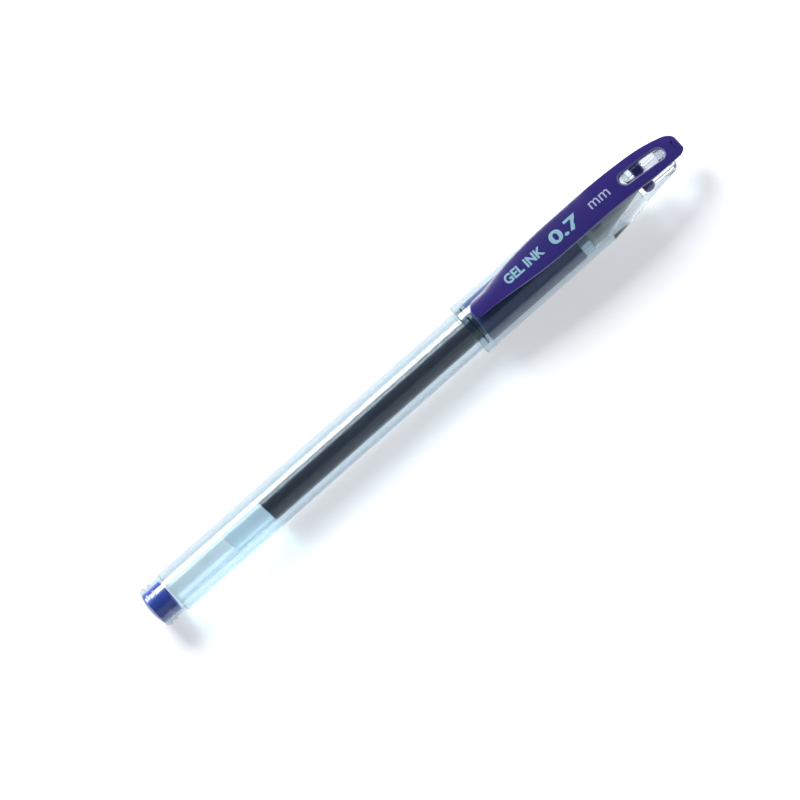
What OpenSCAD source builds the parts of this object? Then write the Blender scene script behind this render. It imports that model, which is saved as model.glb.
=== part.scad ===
// Capped gel pen, lying along X with its clip on top.
// Stations along the pen are measured from the tail's dome; heights are measured from the pen's axis.

/* [Barrel] */
// Wall of the barrel's long tube
barrel_wall = 0.85; // [0.6:0.05:1.1]
// Length of the barrel from its tail face to the front of its neck
barrel_len = 118.25; // [95:0.05:145]
// Length of the ringed section at the tail
tail_len = 5.45; // [5:0.05:8]
// How far the ringed section is set in from the barrel's outer surface
tail_set_in = 0.35; // [0.2:0.05:0.6]
// Wall of the ringed section
tail_wall = 0.77; // [0.5:0.01:1]
// Distances of the two raised rings from the tail face, to their middles
tail_ring_at = [0.88, 2.4]; // [0.5:0.02:4]
// Widths of the two raised rings
tail_ring_w = [0.74, 0.5]; // [0.3:0.02:0.8]
// Heights of the two raised rings
tail_ring_h = [0.33, 0.27]; // [0.1:0.01:0.35]
// Length of the barrel's slimmer seat that the cap's mouth stops over
cap_seat_len = 3.0; // [2.6:0.1:5]
// How far that seat is set in
cap_seat_in = 0.16; // [0.16:0.01:0.25]

/* [Grip] */
// Length of the rubber grip, and of the neck it sits on
grip_len = 26.7; // [20:0.1:40]
// Wall of the barrel's neck where it is threaded
neck_wall = 0.55; // [0.4:0.05:0.9]
// Wall of the rubber grip
grip_wall = 0.75; // [0.5:0.05:1]
// How far the grip stands proud of the barrel
grip_proud = 0.05; // [0:0.01:0.1]

/* [Tail plug] */
// Height of the plug's domed end
plug_dome_h = 0.85; // [0.6:0.05:1.5]
// How far the domed end is set in from the ringed section
plug_dome_in = 0.3; // [0.1:0.05:0.5]
// Depth of the plug inside the barrel
plug_depth = 4.65; // [3:0.05:5]
// Wall of the plug's hollow body
plug_wall = 0.8; // [0.6:0.05:1.2]
// Radius of the plug's air hole
plug_vent_r = 0.4; // [0.25:0.05:0.6]

/* [Refill] */
// Outer radius of the refill tube, which sets the barrel's
refill_r = 3.15; // [2.6:0.05:4]
// Wall of the refill tube
refill_wall = 0.4; // [0.3:0.05:0.6]
// Length of the empty stretch behind the grease
empty_len = 15.75; // [0:0.05:60]
// Length of the grease follower
follower_len = 10.5; // [6:0.1:14]
// How much slimmer than the refill tube the tip holder is
holder_set_in = 0.55; // [0.4:0.05:0.8]
// Length of the holder's spigot inside the refill tube
holder_spigot_len = 4.0; // [3:0.1:8]
// Length of the holder's shoulder against the tube's end
holder_shoulder_len = 1.0; // [0.6:0.1:2]
// Distance from the nose's collar to the seat that stops the holder
holder_seat_at = 3.5; // [3:0.1:4]
// Wall of the holder's front end round the metal point
holder_front_wall = 0.4; // [0.3:0.05:0.6]
// Length of that front end
holder_front_len = 2.4; // [1.5:0.1:3]
// Radius of the ink channel in the tip holder
channel_r = 0.9; // [0.6:0.05:1.05]

/* [Point] */
// Radius of the writing ball
ball_r = 0.35; // [0.25:0.05:0.5]
// Radius of the metal point's shank
point_r = 1.15; // [1.05:0.05:1.3]
// Length of the metal point behind the ball's middle
point_len = 12.0; // [10:0.1:14]
// Length of the point's round shank that shows in front of the nose
point_show = 0.35; // [0.2:0.05:1]
// Length of the metal point's conical end
point_cone_len = 1.25; // [1:0.05:2]
// Width of the metal point's lip round the ball
lip_w = 0.11; // [0.08:0.01:0.3]
// How far the lip reaches past the ball's middle
lip_reach = 0.12; // [0.08:0.01:0.15]
// Radius of the spring chamber in the metal point
chamber_r = 0.62; // [0.55:0.01:0.75]
// Radius of the spring's wire
spring_wire_r = 0.08; // [0.06:0.01:0.1]
// Length of the spring's straight needle
needle_len = 2.9; // [2:0.1:4]
// Number of turns in the spring
spring_turns = 8; // [5:1:10]

/* [Nose cone] */
// Length of the nose's collar in front of the grip
collar_len = 2.6; // [2:0.1:4]
// Length of the land that the inner cap closes on
land_len = 3.9; // [3:0.1:6]
// Step from the collar down to that land
land_step = 1.1; // [0.9:0.05:1.3]
// Length of the tapered front
cone_len = 5.8; // [4.5:0.1:7]
// Wall of the nose at its mouth
nose_mouth_wall = 0.37; // [0.3:0.01:0.6]
// Length of the threaded spigot in the barrel's neck
thread_len = 6.5; // [5:0.1:9]
// Wall of the threaded spigot
spigot_wall = 0.47; // [0.35:0.01:0.8]

/* [Cap] */
// Wall of the clear cap
cap_wall = 1.0; // [0.8:0.05:1.5]
// How far the cap's mouth reaches behind the grip
cap_cover = 2.5; // [2.2:0.1:2.9]
// Length of the ring round the cap's mouth
mouth_ring_len = 2.4; // [1.5:0.1:4]
// How far the ring stands proud of the cap
mouth_ring_proud = 0.1; // [0.05:0.01:0.4]
// Distance from the end of the nose's land to the start of the cap's taper
taper_set_off = 0.4; // [0.3:0.05:1]
// Length of the clear block at the cap's closed end
block_len = 10.3; // [9.5:0.1:14]
// How much slimmer the cap is where its end starts to round over
block_fall = 2.4; // [1.8:0.05:2.6]
// Radius of the rounded end
block_round_r = 2.0; // [1:0.1:2.5]
// Length of the steep part of the bore's taper
bore_step_len = 5; // [4:0.1:6]
// Gap round the inner cap where the steep part ends
bore_step_gap = 0.5; // [0.4:0.05:1]
// Gap round the inner cap at its closed end, which the vents open into
vent_ring_w = 1.23; // [1.1:0.01:1.6]
// Radius of each air vent through the end block
vent_r = 0.6; // [0.4:0.05:0.7]
// Angle of each vent from straight below the axis
vent_angle = 30; // [20:1:40]

/* [Inner cap] */
// Wall of the inner cap's collar
inner_cap_wall = 0.57; // [0.4:0.01:0.8]
// How much wider than its soft pad the inner cap is at its closed end
inner_cap_end_w = 0.47; // [0.4:0.01:0.9]
// Thickness of the inner cap's closed end
inner_cap_end_t = 1.6; // [1:0.1:2.5]
// Radius of the soft pad that seals the point
seal_r = 1.3; // [1.1:0.05:1.4]
// Thickness of the soft pad
seal_t = 1.2; // [0.8:0.1:2]
// Thickness of each fin that centres the inner cap
fin_t = 0.8; // [0.5:0.1:1.2]
// Length of each fin
fin_len = 2.4; // [1.5:0.1:3]
// Distance of the fins' front ends behind the cap's taper
fin_set_back = 0.3; // [0.2:0.05:0.6]
// Number of fins
fin_count = 4; // [3:1:6]

/* [Clip] */
// Length of the straight run that keeps the bow level after the cap starts to taper
bow_level = 8; // [6:0.5:10]
// Height above the axis that the bow is drawn towards near its end
bow_pull_z = 4.3; // [3.8:0.1:4.8]
// Distance from the hood's end to that height
bow_pull_s = 2.6; // [2:0.1:4]
// Half of the clip's full width
clip_half_w = 3.75; // [3.2:0.05:4.2]
// Radius of the round free end
tongue_r = 2.05; // [1.8:0.05:3.2]
// Length of the free end before it widens
tongue_len = 4.6; // [3.6:0.1:8]
// Half of the hood's width at its end
hood_half_w = 2.6; // [2.2:0.05:3.2]
// Thickness of the clip
clip_t = 1.15; // [0.9:0.05:1.5]
// Gap between the clip and the cap below it
clip_gap = 0.4; // [0.3:0.05:1.5]
// How far the free end starts in front of the cap's mouth
clip_set_back = 2.9; // [2.6:0.1:8]
// Length of the free end that dips towards the cap
clip_dip_len = 12; // [8:0.5:16]
// How far the free end dips
clip_dip = 0.75; // [0.4:0.05:0.9]
// How far the hood reaches past the cap's end
hood_reach = 3.0; // [2.8:0.1:4]
// Height above the axis where the hood ends
hood_end_z = 0.9; // [0.4:0.1:2]
// Length of the window round the cap's boss
window_len = 11.3; // [9:0.1:12]
// Half of the window's width
window_half_w = 1.35; // [1.1:0.05:1.5]
// Distance of the window's front end from the cap's end
window_end_gap = 0.7; // [0.5:0.1:1.5]
// Radius of the foot's round end, which rocks in the block
foot_r = 1.4; // [1.2:0.05:1.6]
// Half of the foot's width
foot_half_w = 2.8; // [2.4:0.05:3]
// Half of the thickness of the foot's cheeks
cheek_half_t = 1.0; // [0.8:0.05:1.2]
// Distance of the foot's middle from the cap's end
foot_from_end = 7.9; // [7.5:0.1:8.2]
// Height of the foot's middle above the axis
foot_z = 1.2; // [1:0.1:1.5]
// Largest angle that the clip lifts
clip_lift = 5; // [3:1:6]

/* [Fits] */
// Running clearance of turned pieces, on the radius
run_gap = 0.03; // [0.02:0.01:0.05]
// Clearance of the ball in its seat, on the radius
ball_gap = 0.015; // [0.012:0.001:0.02]
// Clearance between the grip and the cap's bore, on the radius
cap_gap = 0.15; // [0.1:0.01:0.25]
// Clearance round the refill inside the threaded spigot, on the radius
refill_gap = 0.1; // [0.05:0.01:0.2]
// Clearance round the refill where it passes through the neck, on the radius
neck_gap = 0.25; // [0.15:0.05:0.35]
// Distance of the refill tube's front end behind the threaded spigot
spigot_gap = 0.6; // [0.3:0.05:2]
// Film between the ink or grease and the tube
film_gap = 0.02; // [0.01:0.01:0.05]
// Clearance of the foot in its seat, on the radius
foot_gap = 0.06; // [0.04:0.01:0.1]
// Gap between the clip's bow and the seat cut for it in the cap
seat_gap = 0.3; // [0.2:0.05:0.5]
// Clearance beside the boss in the clip's window
boss_side_gap = 0.15; // [0.1:0.01:0.2]
// Clearance behind the boss, which the clip's lift takes up
boss_rear_gap = 0.7; // [0.6:0.05:1]
// Clearance in front of the boss
boss_front_gap = 0.3; // [0.2:0.05:0.5]
// Clearance between the refill's rear end and the tail plug
tail_gap = 0.8; // [0.4:0.1:2]
// Small gap between faces that only just meet
kiss_gap = 0.05; // [0.02:0.01:0.1]

/* [Hidden] */
$fn = 72;
// A little extra length, so that cuts pass right through
over = 0.5;

// Stations along the pen, from the tail's dome
tail_s = plug_dome_h;
tail_end_s = tail_s + tail_len;
plug_end_s = tail_s + plug_depth;
neck_end_s = tail_s + barrel_len;
grip_s = neck_end_s - grip_len;
thread_s = neck_end_s - thread_len;
thread_floor_s = thread_s - over;
collar_end_s = neck_end_s + collar_len;
land_end_s = collar_end_s + land_len;
nose_end_s = land_end_s + cone_len;
refill_s = plug_end_s + tail_gap;
refill_end_s = thread_s - spigot_gap;
follower_s = refill_s + empty_len;
ink_s = follower_s + follower_len;
spigot_s = refill_end_s - holder_spigot_len;
holder_neck_s = refill_end_s + holder_shoulder_len;
ball_s = nose_end_s + point_show + point_cone_len;
point_s = ball_s - point_len;
seal_s = ball_s + ball_r + kiss_gap;
seal_end_s = seal_s + seal_t;
cap_blind_s = seal_end_s + inner_cap_end_t;
cap_end_s = cap_blind_s + block_len;
mouth_s = grip_s - cap_cover;
total_len = cap_end_s + hood_reach;

// Radii, from the refill outwards
refill_bore_r = refill_r - refill_wall;
ink_r = refill_bore_r - film_gap;
holder_r = refill_r - holder_set_in;
holder_front_r = point_r + holder_front_wall;
lip_r = ball_r + lip_w;
neck_bore_r = refill_r + neck_gap;
spigot_bore_r = refill_r + refill_gap;
thread_r = spigot_bore_r + spigot_wall;
thread_bore_r = thread_r + run_gap;
neck_r = thread_bore_r + neck_wall;
grip_r = neck_r + grip_wall;
barrel_r = grip_r - grip_proud;
barrel_bore_r = barrel_r - barrel_wall;
tail_r = barrel_r - tail_set_in;
tail_bore_r = tail_r - tail_wall;
plug_r = tail_bore_r - run_gap;
plug_dome_r = tail_r - plug_dome_in;
collar_r = barrel_r - kiss_gap;
land_r = collar_r - land_step;
nose_mouth_r = point_r + run_gap + nose_mouth_wall;
inner_cap_bore_r = land_r + run_gap;
inner_cap_r = inner_cap_bore_r + inner_cap_wall;
inner_cap_end_r = seal_r + inner_cap_end_w;
cap_bore_r = grip_r + cap_gap;
cap_r = cap_bore_r + cap_wall;
cap_bore_end_r = inner_cap_end_r + vent_ring_w;
block_end_r = cap_r - block_fall;
mouth_ring_r = cap_r + mouth_ring_proud;

// Where the holder's front seats in the nose
seat_s = collar_end_s + holder_seat_at;
nose_step_r = holder_r + refill_gap;

// Cap end: where the taper starts, and how its bore narrows
taper_s = land_end_s + taper_set_off;
bore_step_s = taper_s + bore_step_len;
round_s = cap_end_s - block_round_r;
inner_taper_s = taper_s - fin_set_back;
inner_cap_fall = (inner_cap_r - inner_cap_end_r) / (cap_blind_s - inner_taper_s);
bore_step_r = inner_cap_r - inner_cap_fall * (bore_step_s - inner_taper_s) + bore_step_gap;

// Clip: heights above the axis
clip_under_z = cap_r + clip_gap;
clip_top_z = clip_under_z + clip_t;
clip_s = mouth_s + clip_set_back;
foot_s = cap_end_s - foot_from_end;
window_end_s = cap_end_s - window_end_gap;
window_s = window_end_s - window_len;
boss_floor_z = foot_z + foot_r + 4 * foot_gap;

// Half outline of a turned piece, drawn as radius against station, and spun about the pen's axis
module turned() {
    translate([-total_len / 2, 0, mouth_ring_r]) rotate([0, 90, 0]) rotate_extrude() children();
}

// Round bar or hole about the pen's axis between two stations
module bar(r, s0, s1) {
    translate([s0 - total_len / 2, 0, mouth_ring_r]) rotate([0, 90, 0]) cylinder(h = s1 - s0, r = r);
}

// Cone about the pen's axis between two stations
module taper(r0, r1, s0, s1) {
    translate([s0 - total_len / 2, 0, mouth_ring_r]) rotate([0, 90, 0]) cylinder(h = s1 - s0, r1 = r0, r2 = r1);
}

// A side view, drawn as station against height, given a width across the pen
module across(half_w) {
    translate([-total_len / 2, half_w, mouth_ring_r]) rotate([90, 0, 0]) linear_extrude(2 * half_w) children();
}

// A plan view, drawn as station against width, given a height range above the axis
module upright(z0, z1) {
    translate([-total_len / 2, 0, mouth_ring_r + z0]) linear_extrude(z1 - z0) children();
}

// Oval between two stations
module oval(s0, s1, half_w) {
    translate([s0 + half_w, 0]) circle(r = half_w);
    translate([s1 - half_w, 0]) circle(r = half_w);
    translate([s0 + half_w, -half_w]) square([s1 - s0 - 2 * half_w, 2 * half_w]);
}

// ---- Barrel and what is fixed to it ----

module barrel() {
    color([0.86, 0.93, 0.97, 0.35]) difference() {
        union() {
            bar(tail_r, tail_s, tail_end_s);
            for (i = [0, 1])
                bar(tail_r + tail_ring_h[i], tail_s + tail_ring_at[i] - tail_ring_w[i] / 2,
                    tail_s + tail_ring_at[i] + tail_ring_w[i] / 2);
            bar(barrel_r, tail_end_s, grip_s - cap_seat_len);
            bar(barrel_r - cap_seat_in, grip_s - cap_seat_len, grip_s);
            bar(neck_r, grip_s, neck_end_s);
        }
        bar(tail_bore_r, tail_s - over, tail_end_s);
        bar(barrel_bore_r, tail_end_s, grip_s - barrel_wall);
        bar(neck_bore_r, grip_s - barrel_wall, thread_floor_s);
        bar(thread_bore_r, thread_floor_s, neck_end_s + over);
    }
}

module tail_plug() {
    // Radius of the sphere that the dome is cut from
    dome_sphere_r = (pow(plug_dome_r, 2) + pow(plug_dome_h, 2)) / (2 * plug_dome_h);
    color([0.18, 0.23, 0.55]) difference() {
        turned() {
            intersection() {
                translate([0, dome_sphere_r]) circle(r = dome_sphere_r, $fn = 360);
                square([plug_dome_r, plug_dome_h]);
            }
            translate([0, plug_dome_h]) square([plug_r, plug_depth]);
        }
        bar(plug_r - plug_wall, tail_s + plug_wall, plug_end_s + over);
        bar(plug_vent_r, -over, tail_s + plug_wall + over);
    }
}

module grip_sleeve() {
    color([0.24, 0.28, 0.41]) difference() {
        bar(grip_r, grip_s, neck_end_s);
        bar(neck_r, grip_s - over, neck_end_s + over);
    }
}

module nose_cone() {
    color([0.88, 0.93, 0.96, 0.4]) difference() {
        union() {
            bar(thread_r, thread_s, neck_end_s);
            bar(collar_r, neck_end_s, collar_end_s);
            bar(land_r, collar_end_s, land_end_s);
            taper(land_r, nose_mouth_r, land_end_s, nose_end_s);
        }
        bar(spigot_bore_r, thread_s - over, collar_end_s);
        bar(nose_step_r, collar_end_s - over, seat_s);
        bar(holder_front_r + run_gap, seat_s - over, seat_s + holder_front_len + kiss_gap);
        bar(point_r + run_gap, seat_s, nose_end_s + over);
    }
}

// ---- Refill ----

module refill_tube() {
    color([0.85, 0.93, 0.96, 0.5]) difference() {
        bar(refill_r, refill_s, refill_end_s);
        bar(refill_bore_r, refill_s - over, refill_end_s + over);
    }
}

module ink_follower() {
    color([0.8, 0.9, 0.95, 0.6]) bar(ink_r, follower_s, ink_s);
}

module ink_column() {
    color([0.13, 0.15, 0.3]) {
        bar(ink_r, ink_s, spigot_s);
        bar(channel_r - film_gap, spigot_s, point_s);
    }
}

module tip_holder() {
    color([0.93, 0.94, 0.93]) difference() {
        union() {
            bar(refill_bore_r, spigot_s, refill_end_s);
            bar(refill_r, refill_end_s, holder_neck_s);
            bar(holder_r, holder_neck_s, seat_s - kiss_gap);
            bar(holder_front_r, seat_s - kiss_gap, seat_s - kiss_gap + holder_front_len);
        }
        bar(channel_r, spigot_s - over, point_s + over);
        bar(point_r, point_s, seat_s + holder_front_len + over);
    }
}

module point_body() {
    // The chamber narrows to a throat behind the ball
    chamber_end_s = ball_s - 2 * ball_r;
    color([0.78, 0.78, 0.76]) difference() {
        union() {
            bar(point_r, point_s, ball_s - point_cone_len);
            taper(point_r, lip_r, ball_s - point_cone_len, ball_s + lip_reach);
        }
        bar(chamber_r, point_s - over, chamber_end_s - over);
        bar(ball_r * 0.75, chamber_end_s - 2 * over, ball_s);
        translate([ball_s - total_len / 2, 0, mouth_ring_r]) sphere(r = ball_r + ball_gap);
    }
}

module writing_ball() {
    color([0.55, 0.56, 0.58]) translate([ball_s - total_len / 2, 0, mouth_ring_r]) sphere(r = ball_r);
}

// The spring is a coil that closes onto the axis and ends in a straight needle behind the ball
spring_sides = 8;
spring_steps = 12;
coil_r = chamber_r - spring_wire_r - kiss_gap;
coil_s = point_s + 4 * spring_wire_r;
needle_end_s = ball_s - ball_r - ball_gap - kiss_gap;
coil_len = needle_end_s - needle_len - coil_s;

// Middle of the wire after t turns: a full coil, then half a turn that closes onto the axis
function wire_at(t) =
    let (closing = max(0, t - spring_turns) * 2,
         r = coil_r * (1 - closing),
         s = coil_s + coil_len * t / (spring_turns + 0.5))
    [s - total_len / 2, r * cos(360 * t), mouth_ring_r + r * sin(360 * t)];

wire_points = concat(
    [for (i = [0 : spring_turns * spring_steps + spring_steps / 2]) wire_at(i / spring_steps)],
    [[needle_end_s - total_len / 2, 0, mouth_ring_r]]);

function unit(v) = v / norm(v);
function wire_way(i) =
    unit(wire_points[min(i + 1, len(wire_points) - 1)] - wire_points[max(i - 1, 0)]);

// Ring of points round the wire at one of its middles, kept square to the wire
function wire_ring(i) =
    let (way = wire_way(i), side = unit(cross([1, 0.01, 0.02], way)), other = cross(way, side))
    [for (k = [0 : spring_sides - 1])
        let (a = 360 * k / spring_sides)
        wire_points[i] + spring_wire_r * (cos(a) * side + sin(a) * other)];

module ball_spring() {
    rings = len(wire_points);
    points = [for (i = [0 : rings - 1]) each wire_ring(i)];
    sides = [for (i = [0 : rings - 2], k = [0 : spring_sides - 1])
        let (next = (k + 1) % spring_sides, a = i * spring_sides, b = a + spring_sides)
        each [[a + k, a + next, b + next], [a + k, b + next, b + k]]];
    first = [for (k = [spring_sides - 1 : -1 : 0]) k];
    last = [for (k = [0 : spring_sides - 1]) (rings - 1) * spring_sides + k];
    color([0.7, 0.7, 0.7]) polyhedron(points, concat([first, last], sides));
}

// ---- Clip ----

// Point on a cubic curve through four controls
function curve(p, t) =
    pow(1 - t, 3) * p[0] + 3 * pow(1 - t, 2) * t * p[1] + 3 * (1 - t) * pow(t, 2) * p[2] + pow(t, 3) * p[3];

// Side view: the free end's dip, the straight stretch, and the bow down into the hood
clip_steps = 14;
dip_s = clip_s + clip_dip_len;
hood_rim_z = hood_end_z + clip_t / 2;
bow_top = [[taper_s, clip_top_z], [taper_s + bow_level, clip_top_z],
    [total_len - bow_pull_s, bow_pull_z], [total_len, hood_rim_z]];
bow_under = [[taper_s, clip_under_z], [taper_s + bow_level - clip_t / 2, clip_under_z],
    [total_len - bow_pull_s - clip_t, bow_pull_z - clip_t * 0.7], [total_len - clip_t, hood_rim_z]];

function dip_at(t) = clip_dip * (1 + cos(180 * t)) / 2;

dip_top = [for (i = [0 : clip_steps]) let (t = i / clip_steps) [clip_s + clip_dip_len * t, clip_top_z - dip_at(t)]];
dip_under = [for (i = [clip_steps : -1 : 0]) let (t = i / clip_steps)
    [clip_s + clip_dip_len * t, clip_under_z - dip_at(t) * clip_gap * 0.6 / clip_dip]];
bow_top_points = [for (i = [0 : clip_steps]) curve(bow_top, i / clip_steps)];
bow_under_points = [for (i = [clip_steps : -1 : 0]) curve(bow_under, i / clip_steps)];

module clip_side() {
    polygon(concat(dip_top, bow_top_points, bow_under_points, dip_under));
    // The hood's rounded rim
    translate([total_len - clip_t / 2, hood_rim_z]) circle(r = clip_t / 2);
}

// Half width of the clip at a station: a round tongue that widens, then a hood that narrows
widen_s = clip_s + tongue_len;
full_s = dip_s + clip_dip_len;
function half_width(s) =
    s < clip_s + tongue_r ? sqrt(max(0, pow(tongue_r, 2) - pow(clip_s + tongue_r - s, 2))) :
    s < widen_s ? tongue_r :
    s < full_s ? tongue_r + (clip_half_w - tongue_r) * sin(90 * (s - widen_s) / (full_s - widen_s)) :
    s < foot_s ? clip_half_w :
    clip_half_w - (clip_half_w - hood_half_w) * (1 - cos(90 * (s - foot_s) / (total_len - foot_s)));

plan_stations = concat(
    [for (i = [0 : 8]) clip_s + tongue_r * (1 - cos(90 * i / 8))],
    [for (i = [0 : 10]) widen_s + (full_s - widen_s) * i / 10],
    [foot_s],
    [for (i = [1 : 10]) foot_s + (total_len - foot_s) * i / 10]);

module clip_plan() {
    last = len(plan_stations) - 1;
    polygon(concat(
        [for (s = plan_stations) [s, half_width(s)]],
        [for (i = [last : -1 : 1]) [plan_stations[i], -half_width(plan_stations[i])]]));
}

module clip() {
    // The cheeks end inside the bow's thickness
    cheek_top_z = (lookup(foot_s, bow_top_points) + lookup(foot_s, bow_under_points)) / 2;
    color([0.23, 0.18, 0.53]) difference() {
        union() {
            intersection() {
                across(clip_half_w + over) clip_side();
                upright(-over, clip_top_z + over) clip_plan();
            }
            // The foot: a round end that rocks in the block, and two cheeks beside the boss
            across(foot_half_w) {
                translate([foot_s, foot_z]) circle(r = foot_r);
                translate([foot_s - cheek_half_t, foot_z])
                    square([2 * cheek_half_t, cheek_top_z - foot_z]);
            }
        }
        upright(boss_floor_z - 2 * foot_gap, clip_top_z + over) oval(window_s, window_end_s, window_half_w);
    }
}

// ---- Cap ----

// The seat that the clip's bow lies over: the clip's underside, let down by a gap that leaves room to lift
function seat_drop(s) = seat_gap + max(0, s - foot_s) * tan(clip_lift);
seat_points = [for (p = bow_under_points) [p[0], p[1] - seat_drop(p[0])]];

module clip_seat() {
    across(cap_r + over) polygon(concat(seat_points, [[taper_s, cap_r + over], [total_len, cap_r + over]]));
}

module foot_slot() {
    slot_half_w = foot_half_w + foot_gap;
    rock = (clip_top_z - foot_z) * tan(clip_lift);
    across(slot_half_w) {
        translate([foot_s, foot_z]) circle(r = foot_r + foot_gap);
        translate([foot_s - cheek_half_t - boss_side_gap, foot_z])
            square([2 * (cheek_half_t + boss_side_gap) + rock, cap_r]);
    }
}

// The boss bridges the foot and fills the clip's window, a little below the clip's face
module boss() {
    boss_face = [for (p = bow_top_points) [p[0], p[1] - kiss_gap]];
    intersection() {
        upright(boss_floor_z, clip_top_z)
            oval(window_s + boss_rear_gap, window_end_s - boss_front_gap, window_half_w - boss_side_gap);
        across(window_half_w) polygon(concat(boss_face, [[total_len, 0], [taper_s, 0]]));
    }
}

module cap_shell() {
    // Distance of the vents from the axis, in the middle of the gap round the inner cap
    vent_out_r = inner_cap_end_r + vent_ring_w / 2;
    color([0.86, 0.93, 0.97, 0.35]) {
        difference() {
            union() {
                bar(mouth_ring_r, mouth_s, mouth_s + mouth_ring_len);
                bar(cap_r, mouth_s, taper_s);
                turned() {
                    polygon([[0, taper_s], [cap_r, taper_s], [block_end_r, round_s], [0, round_s]]);
                    intersection() {
                        translate([block_end_r - block_round_r, round_s]) circle(r = block_round_r);
                        translate([0, round_s]) square([block_end_r, block_round_r]);
                    }
                    translate([0, round_s]) square([block_end_r - block_round_r, block_round_r]);
                }
            }
            bar(cap_bore_r, mouth_s - over, taper_s);
            taper(cap_bore_r, bore_step_r, taper_s, bore_step_s);
            taper(bore_step_r, cap_bore_end_r, bore_step_s, cap_blind_s);
            clip_seat();
            foot_slot();
            for (side = [-1, 1])
                translate([0, side * vent_out_r * sin(vent_angle), -vent_out_r * cos(vent_angle)])
                    bar(vent_r, cap_blind_s - over, cap_end_s + over);
        }
        boss();
    }
}

module inner_cap() {
    bore_end_s = seal_s - 2 * kiss_gap;
    color([0.83, 0.83, 0.79]) difference() {
        union() {
            bar(inner_cap_r, collar_end_s + kiss_gap, inner_taper_s);
            taper(inner_cap_r, inner_cap_end_r, inner_taper_s, cap_blind_s);
            intersection() {
                for (i = [0 : fin_count - 1])
                    translate([inner_taper_s - fin_len - total_len / 2, 0, mouth_ring_r])
                        rotate([45 + 360 * i / fin_count, 0, 0])
                        translate([0, -fin_t / 2, 0]) cube([fin_len, fin_t, cap_bore_r]);
                bar(cap_bore_r - kiss_gap, inner_taper_s - fin_len, inner_taper_s);
            }
        }
        bar(inner_cap_bore_r, collar_end_s - over, taper_s);
        taper(inner_cap_bore_r, seal_r + run_gap, taper_s, bore_end_s);
        bar(seal_r, bore_end_s - over, seal_end_s);
    }
}

module tip_seal() {
    color([0.9, 0.9, 0.88]) bar(seal_r, seal_s, seal_end_s);
}

barrel();
tail_plug();
grip_sleeve();
nose_cone();
refill_tube();
ink_column();
ink_follower();
tip_holder();
point_body();
ball_spring();
writing_ball();
cap_shell();
inner_cap();
tip_seal();
clip();
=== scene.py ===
"""Gel pen lying on its side: the visual model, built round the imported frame."""
import math

import bmesh
import bpy
from bpy.props import FloatProperty, FloatVectorProperty, IntProperty, PointerProperty, StringProperty
from mathutils import Matrix, Vector


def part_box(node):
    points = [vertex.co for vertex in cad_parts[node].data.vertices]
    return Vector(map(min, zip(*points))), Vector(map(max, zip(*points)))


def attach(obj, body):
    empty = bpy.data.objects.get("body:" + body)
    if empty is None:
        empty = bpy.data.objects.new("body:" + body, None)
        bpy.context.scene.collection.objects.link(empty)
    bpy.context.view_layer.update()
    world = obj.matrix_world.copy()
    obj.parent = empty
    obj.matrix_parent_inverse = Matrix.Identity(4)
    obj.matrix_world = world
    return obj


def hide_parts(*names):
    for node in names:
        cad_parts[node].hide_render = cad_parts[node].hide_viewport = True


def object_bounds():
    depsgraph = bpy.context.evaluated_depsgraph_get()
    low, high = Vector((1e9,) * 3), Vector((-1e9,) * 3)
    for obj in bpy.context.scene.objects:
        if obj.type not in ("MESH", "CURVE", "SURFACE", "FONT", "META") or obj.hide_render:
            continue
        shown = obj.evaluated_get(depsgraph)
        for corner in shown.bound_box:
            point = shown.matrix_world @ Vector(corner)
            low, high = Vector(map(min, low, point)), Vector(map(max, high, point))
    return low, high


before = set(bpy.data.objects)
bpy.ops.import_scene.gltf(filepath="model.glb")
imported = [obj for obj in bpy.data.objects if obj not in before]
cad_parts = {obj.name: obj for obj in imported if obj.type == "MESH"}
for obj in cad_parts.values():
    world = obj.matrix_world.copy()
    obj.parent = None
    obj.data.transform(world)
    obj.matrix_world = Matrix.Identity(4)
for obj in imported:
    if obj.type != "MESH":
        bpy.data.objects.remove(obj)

bl_info = {
    "name": "Gel Pen",
    "version": (1, 0, 0),
    "blender": (4, 5, 0),
    "location": "View3D > Sidebar > Gel Pen",
    "description": "Builds a capped gel pen, piece by piece, on its packed frame",
    "category": "Add Mesh",
}

# ---- Stations and radii, in millimetres: stations run from the tail's dome, heights from the pen's axis ----

MM = 0.001
CAD_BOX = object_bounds()
TAIL_X = CAD_BOX[0].x
AXIS_Z = (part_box("barrel")[0].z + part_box("barrel")[1].z) / 2


def span(node):
    """Stations where a node begins and ends."""
    low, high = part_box(node)
    return (low.x - TAIL_X) / MM, (high.x - TAIL_X) / MM


def girth(node):
    """Largest radius of a turned node."""
    low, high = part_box(node)
    return (high.y - low.y) / 2 / MM


TAIL_S, NECK_END_S = span("barrel")
PLUG_END_S = span("tail_plug")[1]
GRIP_S = span("grip_sleeve")[0]
THREAD_S, NOSE_END_S = span("nose_cone")
TUBE_S, TUBE_END_S = span("refill_tube")
GREASE_S, GREASE_END_S = span("ink_follower")
INK_S, INK_END_S = span("ink_column")
HOLDER_S, HOLDER_END_S = span("tip_holder")
POINT_S, POINT_END_S = span("point_body")
BALL_R = girth("writing_ball")
BALL_S = sum(span("writing_ball")) / 2
SEAL_S, SEAL_END_S = span("tip_seal")
LINER_S, LINER_END_S = span("inner_cap")
MOUTH_S, CAP_END_S = span("cap_shell")
CLIP_S, CLIP_END_S = span("clip")

BARREL_R = girth("barrel")
GRIP_R = girth("grip_sleeve")
TUBE_R = girth("refill_tube")
COLLAR_R = girth("nose_cone")
RING_R = girth("cap_shell")
SEAL_R = girth("tip_seal")
PLUG_DOME_R = girth("tail_plug")
CLIP_HALF_W = girth("clip")
CLIP_TOP_Z = (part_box("clip")[1].z - AXIS_Z) / MM

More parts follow.
